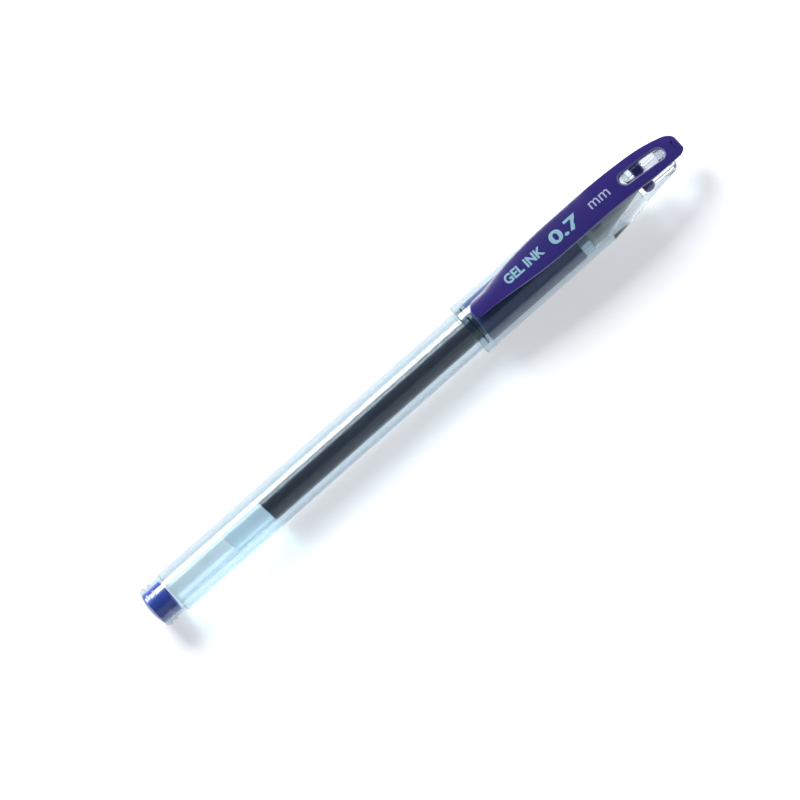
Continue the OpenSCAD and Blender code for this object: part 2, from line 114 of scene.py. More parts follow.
# Barrel
BARREL_WALL = 0.85
TAIL_R = 4.65
TAIL_BORE = 3.88
TAIL_LEN = 5.45
TAIL_END_S = TAIL_S + TAIL_LEN
# Each ring's place along the tail, width and height
TAIL_RINGS = ((0.88, 0.74, 0.33), (2.4, 0.5, 0.27))
SEAT_LEN = 3.0
SEAT_R = 4.84
NECK_R = 4.3
NECK_BORE = 3.4
THREAD_BORE = 3.75
THREAD_FLOOR_S = THREAD_S - 0.5
# Tail plug
PLUG_R = 3.85
PLUG_WALL = 0.8
PLUG_VENT_R = 0.4
# Refill
TUBE_BORE = 2.75
INK_R = 2.77
CHANNEL_R = 0.9
GREASE_IOR = 1.2
GREASE_HOLLOW = 0.25
HOLDER_R = 2.6
HOLDER_FRONT_R = 1.55
HOLDER_NECK_S = TUBE_END_S + 1.0
HOLDER_STEP_S = HOLDER_END_S - 2.4
# Point
POINT_R = 1.15
POINT_CONE_S = BALL_S - 1.25
LIP_R = 0.46
CHAMBER_R = 0.62
THROAT_R = 0.26
SOCKET_GAP = 0.015
SEAT_FROM = 38
SEAT_TO = 142
SPRING_PIN_LEN = 2.9
SPRING_END_GAP = 0.065
# Nose
THREAD_R = 3.72
THREAD_ROOT_R = 3.5
THREAD_PITCH = 1.5
THREAD_TURNS = 1.7
THREAD_LEAD = 0.5
THREAD_SINK = 0.25
COLLAR_END_S = NECK_END_S + 2.6
LAND_R = 3.85
LAND_END_S = COLLAR_END_S + 3.9
NOSE_MOUTH_R = 1.55
SPIGOT_BORE = 3.25
NOSE_STEP_R = 2.7
NOSE_SEAT_S = COLLAR_END_S + 3.5
# Cap
CAP_R = 6.2
CAP_BORE = 5.2
RING_END_S = MOUTH_S + 2.4
TAPER_S = LAND_END_S + 0.4
BLIND_S = LINER_END_S
BORE_STEP_S = TAPER_S + 5.0
BORE_STEP_R = 3.6
BORE_END_R = 3.0
CAP_TIP_R = 3.55
VENT_R = 0.6
VENT_OUT = 2.385
VENT_ANGLE = 30
# Inner cap
LINER_R = 4.45
LINER_BORE = 3.88
LINER_TIP_R = 1.77
LINER_TAPER_S = TAPER_S - 0.3
FIN_LEN = 2.4
FIN_T = 0.8
FIN_COUNT = 4
# Clip
CLIP_T = 1.15
CLIP_UNDER_Z = CLIP_TOP_Z - CLIP_T
TONGUE_R = 2.05
TONGUE_LEN = 4.6
DIP = 0.75
DIP_GAP = 0.24
DIP_LEN = 12.0
HOOD_HALF_W = 2.6
FOOT_S = CAP_END_S - 7.9
FOOT_Z = 1.2
FOOT_R = 1.4
FOOT_HALF_W = 2.8
FOOT_PRESS = 0.01
SLIT_S = CLIP_END_S - 1.4
SLIT_W = 0.36
SLIT_LEN = 2.0
SLIT_DEPTH = 0.55
# How far the painted highlight round the clip's window reaches beyond its edge
RIM_HIGHLIGHT_WIDTH = 0.42
CHEEK_HALF_T = 1.0
HOOD_RIM_Z = 0.9 + CLIP_T / 2
HOOD_CORNER_R = 2.0
HOOD_END_FLAT = 0.12
RIM_BEAD = 0.16
RIM_BEAD_LEN = 1.3
WINDOW_END_S = CAP_END_S - 0.7
WINDOW_S = WINDOW_END_S - 11.3
WINDOW_HALF_W = 1.35
BOSS_FLOOR = 2.72
SEAT_GAP = 0.3
LIFT = 5
# Each print's first and last station, height and boldness
WORDS_PLACE = (102.4, 112.8, 2.3, 0.036)
SIZE_PLACE = (115.1, 122.9, 3.1, 0.032)
UNIT_PLACE = (126.2, 131.4, 1.7, 0.004)


def at(s, y, z):
    """A station, an offset across and a height above the axis, as a point in the frame."""
    return Vector((TAIL_X + s * MM, y * MM, AXIS_Z + z * MM))


# ---- Settings ----

def length(name, default, low, high, description, **more):
    """A length setting."""
    return FloatProperty(name=name, default=default, min=low, max=high, unit="LENGTH", subtype="DISTANCE",
                         description=description, **more)


class PenSizes(bpy.types.PropertyGroup):
    """Sizes that a user may change without touching the frame."""
    turn_sides: IntProperty(name="Sides of a turned piece", default=160, min=48, max=256,
                            description="Number of facets round a turned piece")
    edge_round: length("Edge rounding", 0.12 * MM, 0.0, 0.3 * MM,
                       "Radius on the outside edges of the clear mouldings")
    clip_edge: length("Clip edge rounding", 0.24 * MM, 0.1 * MM, 0.5 * MM,
                      "Width of the rounding along the clip's edges")
    clip_crown: length("Clip crown", 0.14 * MM, 0.0, 0.4 * MM,
                       "How much lower the clip's face is at its edges than at its middle")
    window_chamfer: length("Window chamfer", 0.32 * MM, 0.0, 0.5 * MM,
                           "Width of the chamfer round the clip's window")
    meniscus_tilt: FloatProperty(name="Ink end tilt", default=math.radians(7), min=0.0, max=math.radians(20),
                                 subtype="ANGLE",
                                 description="How far the ends of the grease and the ink lean")
    print_text: StringProperty(name="Print, bold", default="GEL INK", description="First words on the clip")
    print_size: StringProperty(name="Print, large", default="0.7", description="Point size on the clip")
    print_unit: StringProperty(name="Print, thin", default="mm", description="Unit after the point size")
    print_lift: length("Print thickness", 0.02 * MM, 0.0, 0.1 * MM,
                       "How far the print stands above the clip's face")
    spring_turns: IntProperty(name="Spring turns", default=8, min=4, max=12,
                              description="Turns in the fine spring behind the ball")
    spring_wire: length("Spring wire radius", 0.08 * MM, 0.04 * MM, 0.1 * MM,
                        "Radius of the wire of the spring behind the ball", precision=6)


def colour(name, default, description):
    """A colour setting."""
    return FloatVectorProperty(name=name, default=default, min=0.0, max=1.0, size=3,
                               subtype="COLOR", description=description)


class PenColours(bpy.types.PropertyGroup):
    """Colours of the pen's materials."""
    # The clear plastic's faint tint is its own; the deeper tint of its outer skin and the greyer cap inside
    # are painted shade
    clear: colour("Clear plastic", (0.60, 0.71, 0.78), "Tint of the barrel, nose and cap")
    core: colour("Clear plastic, inside", (0.96, 0.975, 0.985), "Tint of the inner walls")
    cap_core: colour("Cap, inside", (0.80, 0.84, 0.87), "Tint of the cap's bore and end block")
    refill: colour("Refill tube", (0.95, 0.985, 0.99), "Natural polypropylene of the refill tube")
    grease: colour("Grease", (0.84, 0.93, 0.96), "Clear follower grease behind the ink")
    ink: colour("Ink", (0.016, 0.020, 0.036), "Gel ink")
    plug: colour("Tail plug", (0.055, 0.09, 0.46), "Blue plug in the tail")
    grip: colour("Grip", (0.07, 0.11, 0.28), "Rubber grip")
    holder: colour("Point holder", (0.86, 0.87, 0.85), "White holder between the tube and the point")
    point: colour("Point", (0.72, 0.70, 0.65), "Turned metal point")
    ball: colour("Ball", (0.36, 0.37, 0.40), "Carbide ball")
    spring: colour("Spring", (0.60, 0.60, 0.61), "Spring wire")
    liner: colour("Inner cap", (0.88, 0.87, 0.79), "Cream-white liner in the cap")
    seal: colour("Seal", (0.80, 0.80, 0.76), "Soft pad that the ball rests against")
    clip: colour("Clip", (0.050, 0.035, 0.25), "Deep violet-blue clip")
    # Painted highlight: a paler violet painted round the clip's window, where its rounded edge would catch the
    # light
    clip_rim_highlight: colour("Clip rim", (0.30, 0.25, 0.50), "Painted highlight round the clip's window")
    print_ink: colour("Print", (0.36, 0.66, 0.80), "Light blue print on the clip")
    print_thin: colour("Thin print", (0.56, 0.58, 0.86), "Paler print on the clip")


class PenStage(bpy.types.PropertyGroup):
    """Floor, light and camera."""
    floor: colour("Floor", (0.905, 0.905, 0.905), "Plain pale floor")
    floor_size: length("Floor size", 8.0, 0.5, 20.0, "Width of the square floor")
    key_power: FloatProperty(name="Key light", default=5.8, min=0.0, unit="POWER",
                             description="Power of the soft light beside the pen")
    fill_power: FloatProperty(name="Fill light", default=0.7, min=0.0, unit="POWER",
                              description="Power of the wide light from the camera's side")
    glow: FloatProperty(name="Floor glow", default=0.56, min=0.0,
                        description="Light that the floor gives off")
    sky: FloatProperty(name="Sky strength", default=1.0, min=0.0,
                       description="Strength of the sky, pale at the horizon and dark overhead")
    distance: length("Camera distance", 1.4, 0.5, 5.0, "From the camera to the pen")
    view_width: length("View width", 0.1695, 0.05, 1.0, "Width that the camera takes in at the pen")
    lean: FloatProperty(name="Camera lean", default=math.radians(20), subtype="ANGLE",
                        description="How far the camera leans from straight above, towards the pen's side")
    roll: FloatProperty(name="Camera roll", default=math.radians(41.5), subtype="ANGLE",
                        description="Angle of the pen in the picture")


# ---- Shader nodes ----

class Value:
    """A node's output that takes part in Python sums through Math nodes."""

    def __init__(self, graph, socket):
        self.graph = graph
        self.socket = socket

    def other(self, name):
        """Another output of the same node."""
        return Value(self.graph, self.socket.node.outputs[name])

    def sum(self, operation, a, b):
        return self.graph.node("ShaderNodeMath", {"operation": operation}, {0: a, 1: b})

    def __add__(self, other):
        return self.sum("ADD", self, other)

    def __radd__(self, other):
        return self.sum("ADD", other, self)

    def __sub__(self, other):
        return self.sum("SUBTRACT", self, other)

    def __rsub__(self, other):
        return self.sum("SUBTRACT", other, self)

    def __mul__(self, other):
        return self.sum("MULTIPLY", self, other)

    def __rmul__(self, other):
        return self.sum("MULTIPLY", other, self)

    def __truediv__(self, other):
        return self.sum("DIVIDE", self, other)

    def __rtruediv__(self, other):
        return self.sum("DIVIDE", other, self)


class Graph:
    """A node tree of any kind."""

    def __init__(self, tree):
        self.tree = tree
        self.tree.nodes.clear()

    def node(self, kind, settings=None, inputs=None, output=0):
        """Adds a node: its settings first, then the values or links of its sockets."""
        made = self.tree.nodes.new(kind)
        for name, value in (settings or {}).items():
            if name == "stops":
                ramp = made.color_ramp.elements
                while len(ramp) < len(value):
                    ramp.new(0.5)
                for stop, (place, shade) in zip(ramp, value):
                    stop.position = place
                    stop.color = (*shade, 1.0)
            else:
                setattr(made, name, value)
        for name, value in (inputs or {}).items():
            if isinstance(value, Value):
                self.tree.links.new(value.socket, made.inputs[name])
            elif hasattr(value, "__len__") and len(value) == 3 and made.inputs[name].type == "RGBA":
                made.inputs[name].default_value = (*value, 1.0)
            else:
                made.inputs[name].default_value = value
        return Value(self, made.outputs[output]) if made.outputs else None


class Finish(Graph):
    """One material and its nodes."""

    def __init__(self, name):
        self.material = bpy.data.materials.new(name)
        self.material.use_nodes = True
        super().__init__(self.material.node_tree)

    def place(self, scale=(1.0, 1.0, 1.0)):
        """Object coordinates in millimetres along, across and up, stretched by a scale."""
        where = self.node("ShaderNodeTexCoord", output="Object")
        stretch = tuple(1 / MM * k for k in scale)
        return self.node("ShaderNodeMapping", None, {"Vector": where, "Scale": stretch})

    def noise(self, scale, detail=2.0, stretch=(1.0, 1.0, 1.0), rough=0.5):
        """Noise with a number of waves for each millimetre."""
        return self.node("ShaderNodeTexNoise", None, {"Vector": self.place(stretch), "Scale": scale,
                                                      "Detail": detail, "Roughness": rough})

    def along(self):
        """Distance along the pen in millimetres from its middle."""
        return self.node("ShaderNodeSeparateXYZ", None, {"Vector": self.place()}, "X")

    def beyond(self, radius, blend=0.2):
        """One farther from the pen's axis than a radius in millimetres, and nought within it."""
        where = self.node("ShaderNodeSeparateXYZ", None, {"Vector": self.place()}, "X")
        y, z = where.other("Y"), where.other("Z") - AXIS_Z / MM
        return self.band(y * y + z * z, (radius - blend) ** 2, radius ** 2)

    def band(self, value, low, high, start=0.0, end=1.0):
        """Takes a value from one range to another, held at the ends."""
        return self.node("ShaderNodeMapRange", {"clamp": True},
                         {"Value": value, "From Min": low, "From Max": high, "To Min": start, "To Max": end})

    def tones(self, factor, dark, light):
        """A colour between two."""
        return self.node("ShaderNodeMix", {"data_type": "RGBA"}, {0: factor, 6: dark, 7: light}, 2)

    def bump(self, height, strength, depth):
        """A relief of a depth in millimetres."""
        return self.node("ShaderNodeBump", None, {"Height": height, "Strength": strength,
                                                  "Distance": depth * MM})

    def solid(self, **sockets):
        """The main shader."""
        return self.node("ShaderNodeBsdfPrincipled", None,
                         {name.replace("_", " "): value for name, value in sockets.items()})

    def done(self, surface):
        """Closes the material on a shader."""
        self.node("ShaderNodeOutputMaterial", None, {"Surface": surface})
        return self.material

    def clear(self, surface, shade):
        """Closes a clear material: light that casts shadows goes straight through, tinted by a shade."""
        through = self.node("ShaderNodeBsdfTransparent", None, {"Color": shade})
        shadow = self.node("ShaderNodeLightPath", output="Is Shadow Ray")
        return self.done(self.node("ShaderNodeMixShader", None, {0: shadow, 1: surface, 2: through}))


def shaded(tint, share):
    """A colour, darker or lighter by a share."""
    return tuple(min(1.0, c * share) for c in tint)


# Tints of the light that goes through to a shadow
CLEAR_SHADE = (0.82, 0.86, 0.885)
TUBE_SHADE = (0.88, 0.93, 0.95)
GREASE_SHADE = (0.9, 0.95, 0.97)


def clear_plastic(name, tint, core, skin, seed):
    """Polished clear moulding: faint flow marks, a deeper tint beyond a radius that paints shade into the
    outer walls, and a light shadow.
    """
    f = Finish(name)
    flow = f.noise(0.35, 1.0, (0.25, 1.0, 1.0))
    tinted = f.tones(f.band(flow, 0.3, 0.7), shaded(tint, 0.985), tint)
    # Painted shade: beyond the skin radius the clear plastic takes the deeper tint, darkening the outer walls;
    # inside it stays pale
    tinted = f.tones(f.beyond(skin), core, tinted)
    glass = f.solid(Base_Color=tinted, Roughness=0.015, IOR=1.57, Transmission_Weight=1.0,
                    Normal=f.bump(f.noise(0.6 + seed, 1.0, (0.1, 1.0, 1.0)), 0.06, 0.002))
    return f.clear(glass, CLEAR_SHADE)


def tube_plastic(name, tint):
    """Natural polypropylene: clear with a slight milk."""
    f = Finish(name)
    cloud = f.noise(0.5, 2.0, (0.3, 1.0, 1.0))
    tinted = f.tones(f.band(cloud, 0.3, 0.7), shaded(tint, 0.96), tint)
    milk = f.solid(Base_Color=tinted, Roughness=0.1, IOR=1.49, Transmission_Weight=0.96,
                   Normal=f.bump(f.noise(1.2, 1.0, (0.15, 1.0, 1.0)), 0.1, 0.003))
    return f.clear(milk, TUBE_SHADE)


def moulded(name, tint, roughness, grain, sheen=0.0, subsurface=0.0):
    """Opaque moulded plastic or rubber: soft colour drift, uneven gloss and a fine grain."""
    f = Finish(name)
    drift = f.band(f.noise(0.25, 3.0), 0.3, 0.7)
    fine = f.noise(6.0, 3.0)
    gloss = f.band(fine, 0.3, 0.7, roughness * 0.85, roughness * 1.15)
    return f.done(f.solid(Base_Color=f.tones(drift, shaded(tint, 0.9), shaded(tint, 1.06)), Roughness=gloss,
                          Sheen_Weight=sheen, Subsurface_Weight=subsurface,
                          Subsurface_Scale=0.5 * MM,
                          Normal=f.bump(fine, 0.4, grain)))


def turned_metal(name, tint, roughness):
    """Metal with fine rings left by turning."""
    f = Finish(name)
    rings = f.noise(14.0, 2.0, (1.0, 0.02, 0.02))
    gloss = f.band(rings, 0.3, 0.7, roughness * 0.7, roughness * 1.4)
    return f.done(f.solid(Base_Color=f.tones(rings, shaded(tint, 0.85), tint), Roughness=gloss, Metallic=1.0,
                          Normal=f.bump(rings, 0.3, 0.004)))


# ---- Meshes ----

SHARP_ANGLE = 32
BEVEL_ANGLE = 35
EDGE_CUT = 0.05


def polar(radius, angle):
    """A point on a circle."""
    return radius * math.cos(angle), radius * math.sin(angle)


def link(name, mesh, material):
    """A new object with one material."""
    obj = bpy.data.objects.new(name, mesh)
    bpy.context.scene.collection.objects.link(obj)
    mesh.materials.clear()
    mesh.materials.append(material)
    return obj


def finish_mesh(mesh):
    """Merges doubles, points the faces outwards and shades smooth, with edges sharp from an angle."""
    work = bmesh.new()
    work.from_mesh(mesh)
    bmesh.ops.remove_doubles(work, verts=work.verts, dist=0.0005 * MM)
    bmesh.ops.recalc_face_normals(work, faces=work.faces)
    if work.calc_volume(signed=True) < 0:
        bmesh.ops.reverse_faces(work, faces=work.faces)
    work.to_mesh(mesh)
    work.free()
    mesh.polygons.foreach_set("use_smooth", [True] * len(mesh.polygons))
    mesh.set_sharp_from_angle(angle=math.radians(SHARP_ANGLE))


def from_faces(name, points, faces, material):
    """An object from points in the frame."""
    mesh = bpy.data.meshes.new(name)
    mesh.from_pydata([tuple(p) for p in points], [], faces)
    finish_mesh(mesh)
    return link(name, mesh, material)


def corner_arc(before, corner, after, radius):
    """Points of an arc that rounds a corner, limited by the edges beside it."""
    corner = Vector(corner)
    to_before, to_after = Vector(before) - corner, Vector(after) - corner
    half = to_before.angle(to_after) / 2
    if half > math.radians(88):
        return [tuple(corner)]
    reach = min(radius / math.tan(half), 0.48 * to_before.length, 0.48 * to_after.length)
    radius = reach * math.tan(half)
    to_before.normalize()
    to_after.normalize()
    centre = corner + (to_before + to_after).normalized() * (radius / math.sin(half))
    start, end = corner + to_before * reach - centre, corner + to_after * reach - centre
    turn = start.angle_signed(end)
    steps = max(2, math.ceil(abs(turn) / math.radians(14)))
    points = []
    for i in range(steps + 1):
        a = -turn * i / steps
        points.append((centre.x + start.x * math.cos(a) - start.y * math.sin(a),
                       centre.y + start.x * math.sin(a) + start.y * math.cos(a)))
    return points


def rounded(corners, closed=True, longest=4.0):
    """Outline from corners (station, radius, rounding), with cuts along its long edges and near their ends."""
    count = len(corners)
    points = []
    for i, corner in enumerate(corners):
        place, rounding = corner[:2], corner[2] if len(corner) > 2 else 0
        inner = closed or 0 < i < count - 1
        if rounding and inner:
            points += corner_arc(corners[i - 1][:2], place, corners[(i + 1) % count][:2], rounding)
        else:
            points.append(tuple(place))
    full = []
    for i, a in enumerate(points):
        full.append(a)
        if not closed and i == len(points) - 1:
            break
        a, b = Vector(a), Vector(points[(i + 1) % len(points)])
        size = (b - a).length
        if size > 6 * EDGE_CUT:
            cuts = max(1, math.ceil((size - 2 * EDGE_CUT) / longest))
            for k in range(cuts + 1):
                full.append(tuple(a.lerp(b, (EDGE_CUT + (size - 2 * EDGE_CUT) * k / cuts) / size)))
    return full


def turned_points(outline, closed, sides):
    """Points and faces of an outline spun about the pen's axis; ends on the axis become poles."""
    points, rings = [], []
    for s, r in outline:
        if r < 1e-6:
            rings.append([len(points)])
            points.append(at(s, 0, 0))
        else:
            rings.append(list(range(len(points), len(points) + sides)))
            points += [at(s, *polar(r, 2 * math.pi * k / sides)) for k in range(sides)]
    faces = []
    pairs = list(zip(rings, rings[1:] + rings[:1])) if closed else list(zip(rings, rings[1:]))
    for a, b in pairs:
        for k in range(sides):
            n = (k + 1) % sides
            if len(a) == 1:
                faces.append((a[0], b[n], b[k]))
            elif len(b) == 1:
                faces.append((a[k], a[n], b[0]))
            else:
                faces.append((a[k], a[n], b[n], b[k]))
    return points, faces


def turned(name, corners, material, closed=True, longest=4.0, sides=None):
    """A turned piece about the pen's axis."""
    sides = sides or bpy.context.scene.pen_sizes.turn_sides
    points, faces = turned_points(rounded(corners, closed, longest), closed, sides)
    return from_faces(name, points, faces, material)


def prism(name, outline, low, high, material, upright=False):
    """An outline in station and height given a width across, or one in station and width given a height."""
    count = len(outline)
    points = []
    for level in (low, high):
        points += [at(s, v, level) if upright else at(s, level, v) for s, v in outline]
    faces = [tuple(range(count)), tuple(range(2 * count - 1, count - 1, -1))]
    faces += [(i, i + count, (i + 1) % count + count, (i + 1) % count) for i in range(count)]
    return from_faces(name, points, faces, material)


def worked_out(obj):
    """A plain mesh of an object with its modifiers."""
    bpy.context.view_layer.update()
    graph = bpy.context.evaluated_depsgraph_get()
    return bpy.data.meshes.new_from_object(obj.evaluated_get(graph), depsgraph=graph)


def baked(obj):
    """Turns an object with modifiers into a plain mesh."""
    name = obj.data.name
    mesh = worked_out(obj)
    obj.modifiers.clear()
    obj.data = mesh
    mesh.name = name


def bevelled(obj, width):
    """Rounds an object's sharp edges."""
    bevel = obj.modifiers.new("edge", "BEVEL")
    bevel.width = width * MM
    bevel.segments = 2
    bevel.limit_method = "ANGLE"
    bevel.angle_limit = math.radians(BEVEL_ANGLE)
    bevel.use_clamp_overlap = True
    baked(obj)
    return obj


def joined(obj, tools, operation="DIFFERENCE"):
    """Cuts the tools out of an object, or adds them, and removes them."""
    material = obj.data.materials[0]
    for tool in tools:
        cut = obj.modifiers.new("cut", "BOOLEAN")
        cut.operation = operation
        cut.solver = "EXACT"
        cut.object = tool
        before = obj.data
        baked(obj)
        bpy.data.meshes.remove(before)
        used = tool.data
        bpy.data.objects.remove(tool)
        bpy.data.meshes.remove(used)
    obj.data.materials.clear()
    obj.data.materials.append(material)
    obj.data.polygons.foreach_set("material_index", [0] * len(obj.data.polygons))
    finish_mesh(obj.data)
    if not len(obj.data.polygons):
        raise RuntimeError(f"{obj.name} has lost its faces")


def oval(start, end, half_w):
    """Outline of an oval between two stations."""
    steps = 18
    points = []
    for centre, turn in ((end - half_w, -90), (start + half_w, 90)):
        for k in range(steps + 1):
            s, y = polar(half_w, math.radians(turn + 180 * k / steps))
            points.append((centre + s, y))
    return points


def stands_for(obj, node, body):
    """Makes a piece ride on its body in place of its node."""
    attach(obj, body)
    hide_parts(node)


def settings():
    """The scene's sizes and colours, with the edge rounding in millimetres."""
    scene = bpy.context.scene
    return scene.pen_sizes, scene.pen_colours, scene.pen_sizes.edge_round / MM


# ---- Geometry nodes ----

def node_group(name, *sockets):
    """A geometry node tree with named inputs, and its input node."""
    tree = bpy.data.node_groups.new(name, "GeometryNodeTree")
    tree.interface.new_socket("Geometry", in_out="OUTPUT", socket_type="NodeSocketGeometry")
    for title, kind in (*sockets, ("Material", "Material")):
        tree.interface.new_socket(title, in_out="INPUT", socket_type="NodeSocket" + kind)
    graph = Graph(tree)
    return graph, graph.node("NodeGroupInput")


def close_group(graph, into, shape):
    """Ends a tree in plain geometry with its material."""
    real = graph.node("GeometryNodeRealizeInstances", None, {"Geometry": shape})
    paint = graph.node("GeometryNodeSetMaterial", None,
                       {"Geometry": real, "Material": into.other("Material")})
    graph.node("NodeGroupOutput", None, {"Geometry": paint})
    return graph.tree


def path_tree():
    """Sweeps a round section along a path."""
    graph, into = node_group("Swept_path", ("Path", "Geometry"), ("Section radius", "Float"),
                             ("Sides", "Int"))
    ring = graph.node("GeometryNodeCurvePrimitiveCircle", None,
                      {"Radius": into.other("Section radius"), "Resolution": into.other("Sides")})
    sweep = graph.node("GeometryNodeCurveToMesh", None,
                       {"Curve": into.other("Path"), "Profile Curve": ring, "Fill Caps": True})
    return close_group(graph, into, sweep)


def ribs_tree():
    """Sets ribs round an axis along X."""
    graph, into = node_group("Ring_of_ribs", ("Count", "Int"), ("Rib size", "Vector"),
                             ("Ring radius", "Float"), ("Turn", "Float"), ("Place", "Vector"))
    angle = graph.node("GeometryNodeInputIndex") * (2 * math.pi / into.other("Count")) + into.other("Turn")
    radius = into.other("Ring radius")
    spot = graph.node("ShaderNodeCombineXYZ", None, {
        "Y": -1 * radius * graph.node("ShaderNodeMath", {"operation": "SINE"}, {0: angle}),
        "Z": radius * graph.node("ShaderNodeMath", {"operation": "COSINE"}, {0: angle})})
    spot = graph.node("ShaderNodeVectorMath", {"operation": "ADD"}, {0: spot, 1: into.other("Place")})
    points = graph.node("GeometryNodePoints", None, {"Count": into.other("Count"), "Position": spot})
    rib = graph.node("GeometryNodeMeshCube", None, {"Size": into.other("Rib size")})
    turned_by = graph.node("ShaderNodeCombineXYZ", None, {"X": angle})
    ribs = graph.node("GeometryNodeInstanceOnPoints", None,
                      {"Points": points, "Instance": rib, "Rotation": turned_by})
    return close_group(graph, into, ribs)


def run_tree(obj, tree, **values):
    """Runs a node tree on an object with named inputs and returns a plain mesh object."""
    step = obj.modifiers.new("nodes", "NODES")
    step.node_group = tree
    for item in tree.interface.items_tree:
        key = item.name.replace(" ", "_").lower()
        if item.in_out == "INPUT" and key in values:
            step[item.identifier] = values[key]
    mesh = worked_out(obj)
    obj.modifiers.remove(step)
    name = obj.name
    bpy.data.objects.remove(obj)
    finish_mesh(mesh)
    made = bpy.data.objects.new(name, mesh)
    bpy.context.scene.collection.objects.link(made)
    return made


def path_object(name, points):
    """A curve object along points in the frame."""
    curve = bpy.data.curves.new(name, "CURVE")
    curve.dimensions = "3D"
    line = curve.splines.new("POLY")
    line.points.add(len(points) - 1)
    for knot, point in zip(line.points, points):
        knot.co = (*point, 1.0)
    obj = bpy.data.objects.new(name, curve)
    bpy.context.scene.collection.objects.link(obj)
    return obj


# ---- Pieces ----

class PEN_OT_barrel(bpy.types.Operator):
    """Clear barrel with its ringed tail, the cap's seat and the neck under the grip"""
    bl_idname = "pen.barrel"
    bl_label = "Barrel"

    def execute(self, context):
        _, colours, edge = settings()
        rings = []
        for along, width, height in TAIL_RINGS:
            low, high, top = TAIL_S + along - width / 2, TAIL_S + along + width / 2, TAIL_R + height
            rings += [(low, TAIL_R, 0.05), (low, top, edge), (high, top, edge), (high, TAIL_R, 0.05)]
        corners = [(TAIL_S, TAIL_BORE, 0.1), (TAIL_S, TAIL_R, 0.15), *rings,
                   (TAIL_END_S, TAIL_R, 0.05), (TAIL_END_S, BARREL_R, edge),
                   (GRIP_S - SEAT_LEN, BARREL_R, edge), (GRIP_S - SEAT_LEN, SEAT_R, 0.05),
                   (GRIP_S, SEAT_R, 0.05), (GRIP_S, NECK_R), (NECK_END_S, NECK_R, 0.1),
                   (NECK_END_S, THREAD_BORE, 0.1), (THREAD_FLOOR_S, THREAD_BORE),
                   (THREAD_FLOOR_S, NECK_BORE, 0.1), (GRIP_S - BARREL_WALL, NECK_BORE, 0.2),
                   (GRIP_S - BARREL_WALL, BARREL_R - BARREL_WALL, 0.4),
                   (TAIL_END_S, BARREL_R - BARREL_WALL, 0.25), (TAIL_END_S, TAIL_BORE, 0.1)]
        finish = clear_plastic("Clear_barrel", colours.clear, colours.core, TAIL_R - 0.2, 0.0)
        stands_for(turned("barrel_shell", corners, finish), "barrel", "barrel")
        return {"FINISHED"}


class PEN_OT_tail_plug(bpy.types.Operator):
    """Domed blue plug with its air hole"""
    bl_idname = "pen.tail_plug"
    bl_label = "Tail plug"

    def execute(self, context):
        _, colours, _ = settings()
        sphere = (PLUG_DOME_R ** 2 + TAIL_S ** 2) / (2 * TAIL_S)
        dome = []
        for k in range(9):
            r = PLUG_VENT_R + (PLUG_DOME_R - PLUG_VENT_R) * k / 8
            dome.append((sphere - math.sqrt(sphere ** 2 - r ** 2), r, 0.08 if k in (0, 8) else 0))
        corners = [*dome, (TAIL_S, PLUG_R), (PLUG_END_S, PLUG_R, 0.12),
                   (PLUG_END_S, PLUG_R - PLUG_WALL, 0.12), (TAIL_S + PLUG_WALL, PLUG_R - PLUG_WALL, 0.3),
                   (TAIL_S + PLUG_WALL, PLUG_VENT_R, 0.05)]
        finish = moulded("Plug_blue", colours.plug, 0.22, 0.006)
        stands_for(turned("plug_tail", corners, finish), "tail_plug", "barrel")
        return {"FINISHED"}


class PEN_OT_grip(bpy.types.Operator):
    """Rubber grip sleeve"""
    bl_idname = "pen.grip"
    bl_label = "Grip"

    def execute(self, context):
        _, colours, _ = settings()
        corners = [(GRIP_S, NECK_R, 0.05), (GRIP_S, GRIP_R, 0.25), (NECK_END_S, GRIP_R, 0.25),
                   (NECK_END_S, NECK_R, 0.05)]
        finish = moulded("Grip_rubber", colours.grip, 0.5, 0.02, 0.25)
        stands_for(turned("grip_rubber", corners, finish), "grip_sleeve", "barrel")
        return {"FINISHED"}


def leaning(obj, tilt, stations):
    """Leans the ends of a column of fluid that lie near the given stations, and hollows them a little."""
    for vertex in obj.data.vertices:
        s, y = (vertex.co.x - TAIL_X) / MM, vertex.co.y / MM
        for end, hollow in stations:
            if abs(s - end) < 0.3:
                r = math.hypot(y, (vertex.co.z - AXIS_Z) / MM)
                vertex.co.x += MM * (-y * math.tan(tilt) + hollow * (1 - (r / INK_R) ** 2))
    obj.data.update()


class PEN_OT_refill(bpy.types.Operator):
    """Refill tube and the white holder that joins it to the point"""
    bl_idname = "pen.refill"
    bl_label = "Refill tube and holder"

    def execute(self, context):
        _, colours, _ = settings()
        finish = tube_plastic("Refill_natural", colours.refill)
        corners = [(TUBE_S, TUBE_BORE, 0.08), (TUBE_S, TUBE_R, 0.08), (TUBE_END_S, TUBE_R, 0.08),
                   (TUBE_END_S, TUBE_BORE, 0.08)]
        stands_for(turned("refill_barrel", corners, finish), "refill_tube", "refill")
        corners = [(HOLDER_S, CHANNEL_R, 0.05), (HOLDER_S, TUBE_BORE, 0.15), (TUBE_END_S, TUBE_BORE),
                   (TUBE_END_S, TUBE_R, 0.1), (HOLDER_NECK_S, TUBE_R, 0.1), (HOLDER_NECK_S, HOLDER_R, 0.15),
                   (HOLDER_STEP_S, HOLDER_R, 0.2), (HOLDER_STEP_S, HOLDER_FRONT_R, 0.1),
                   (HOLDER_END_S, HOLDER_FRONT_R, 0.15), (HOLDER_END_S, POINT_R), (POINT_S, POINT_R),
                   (POINT_S, CHANNEL_R)]
        finish = moulded("Holder_white", colours.holder, 0.38, 0.01, subsurface=0.15)
        stands_for(turned("point_holder", corners, finish), "tip_holder", "refill")
        return {"FINISHED"}


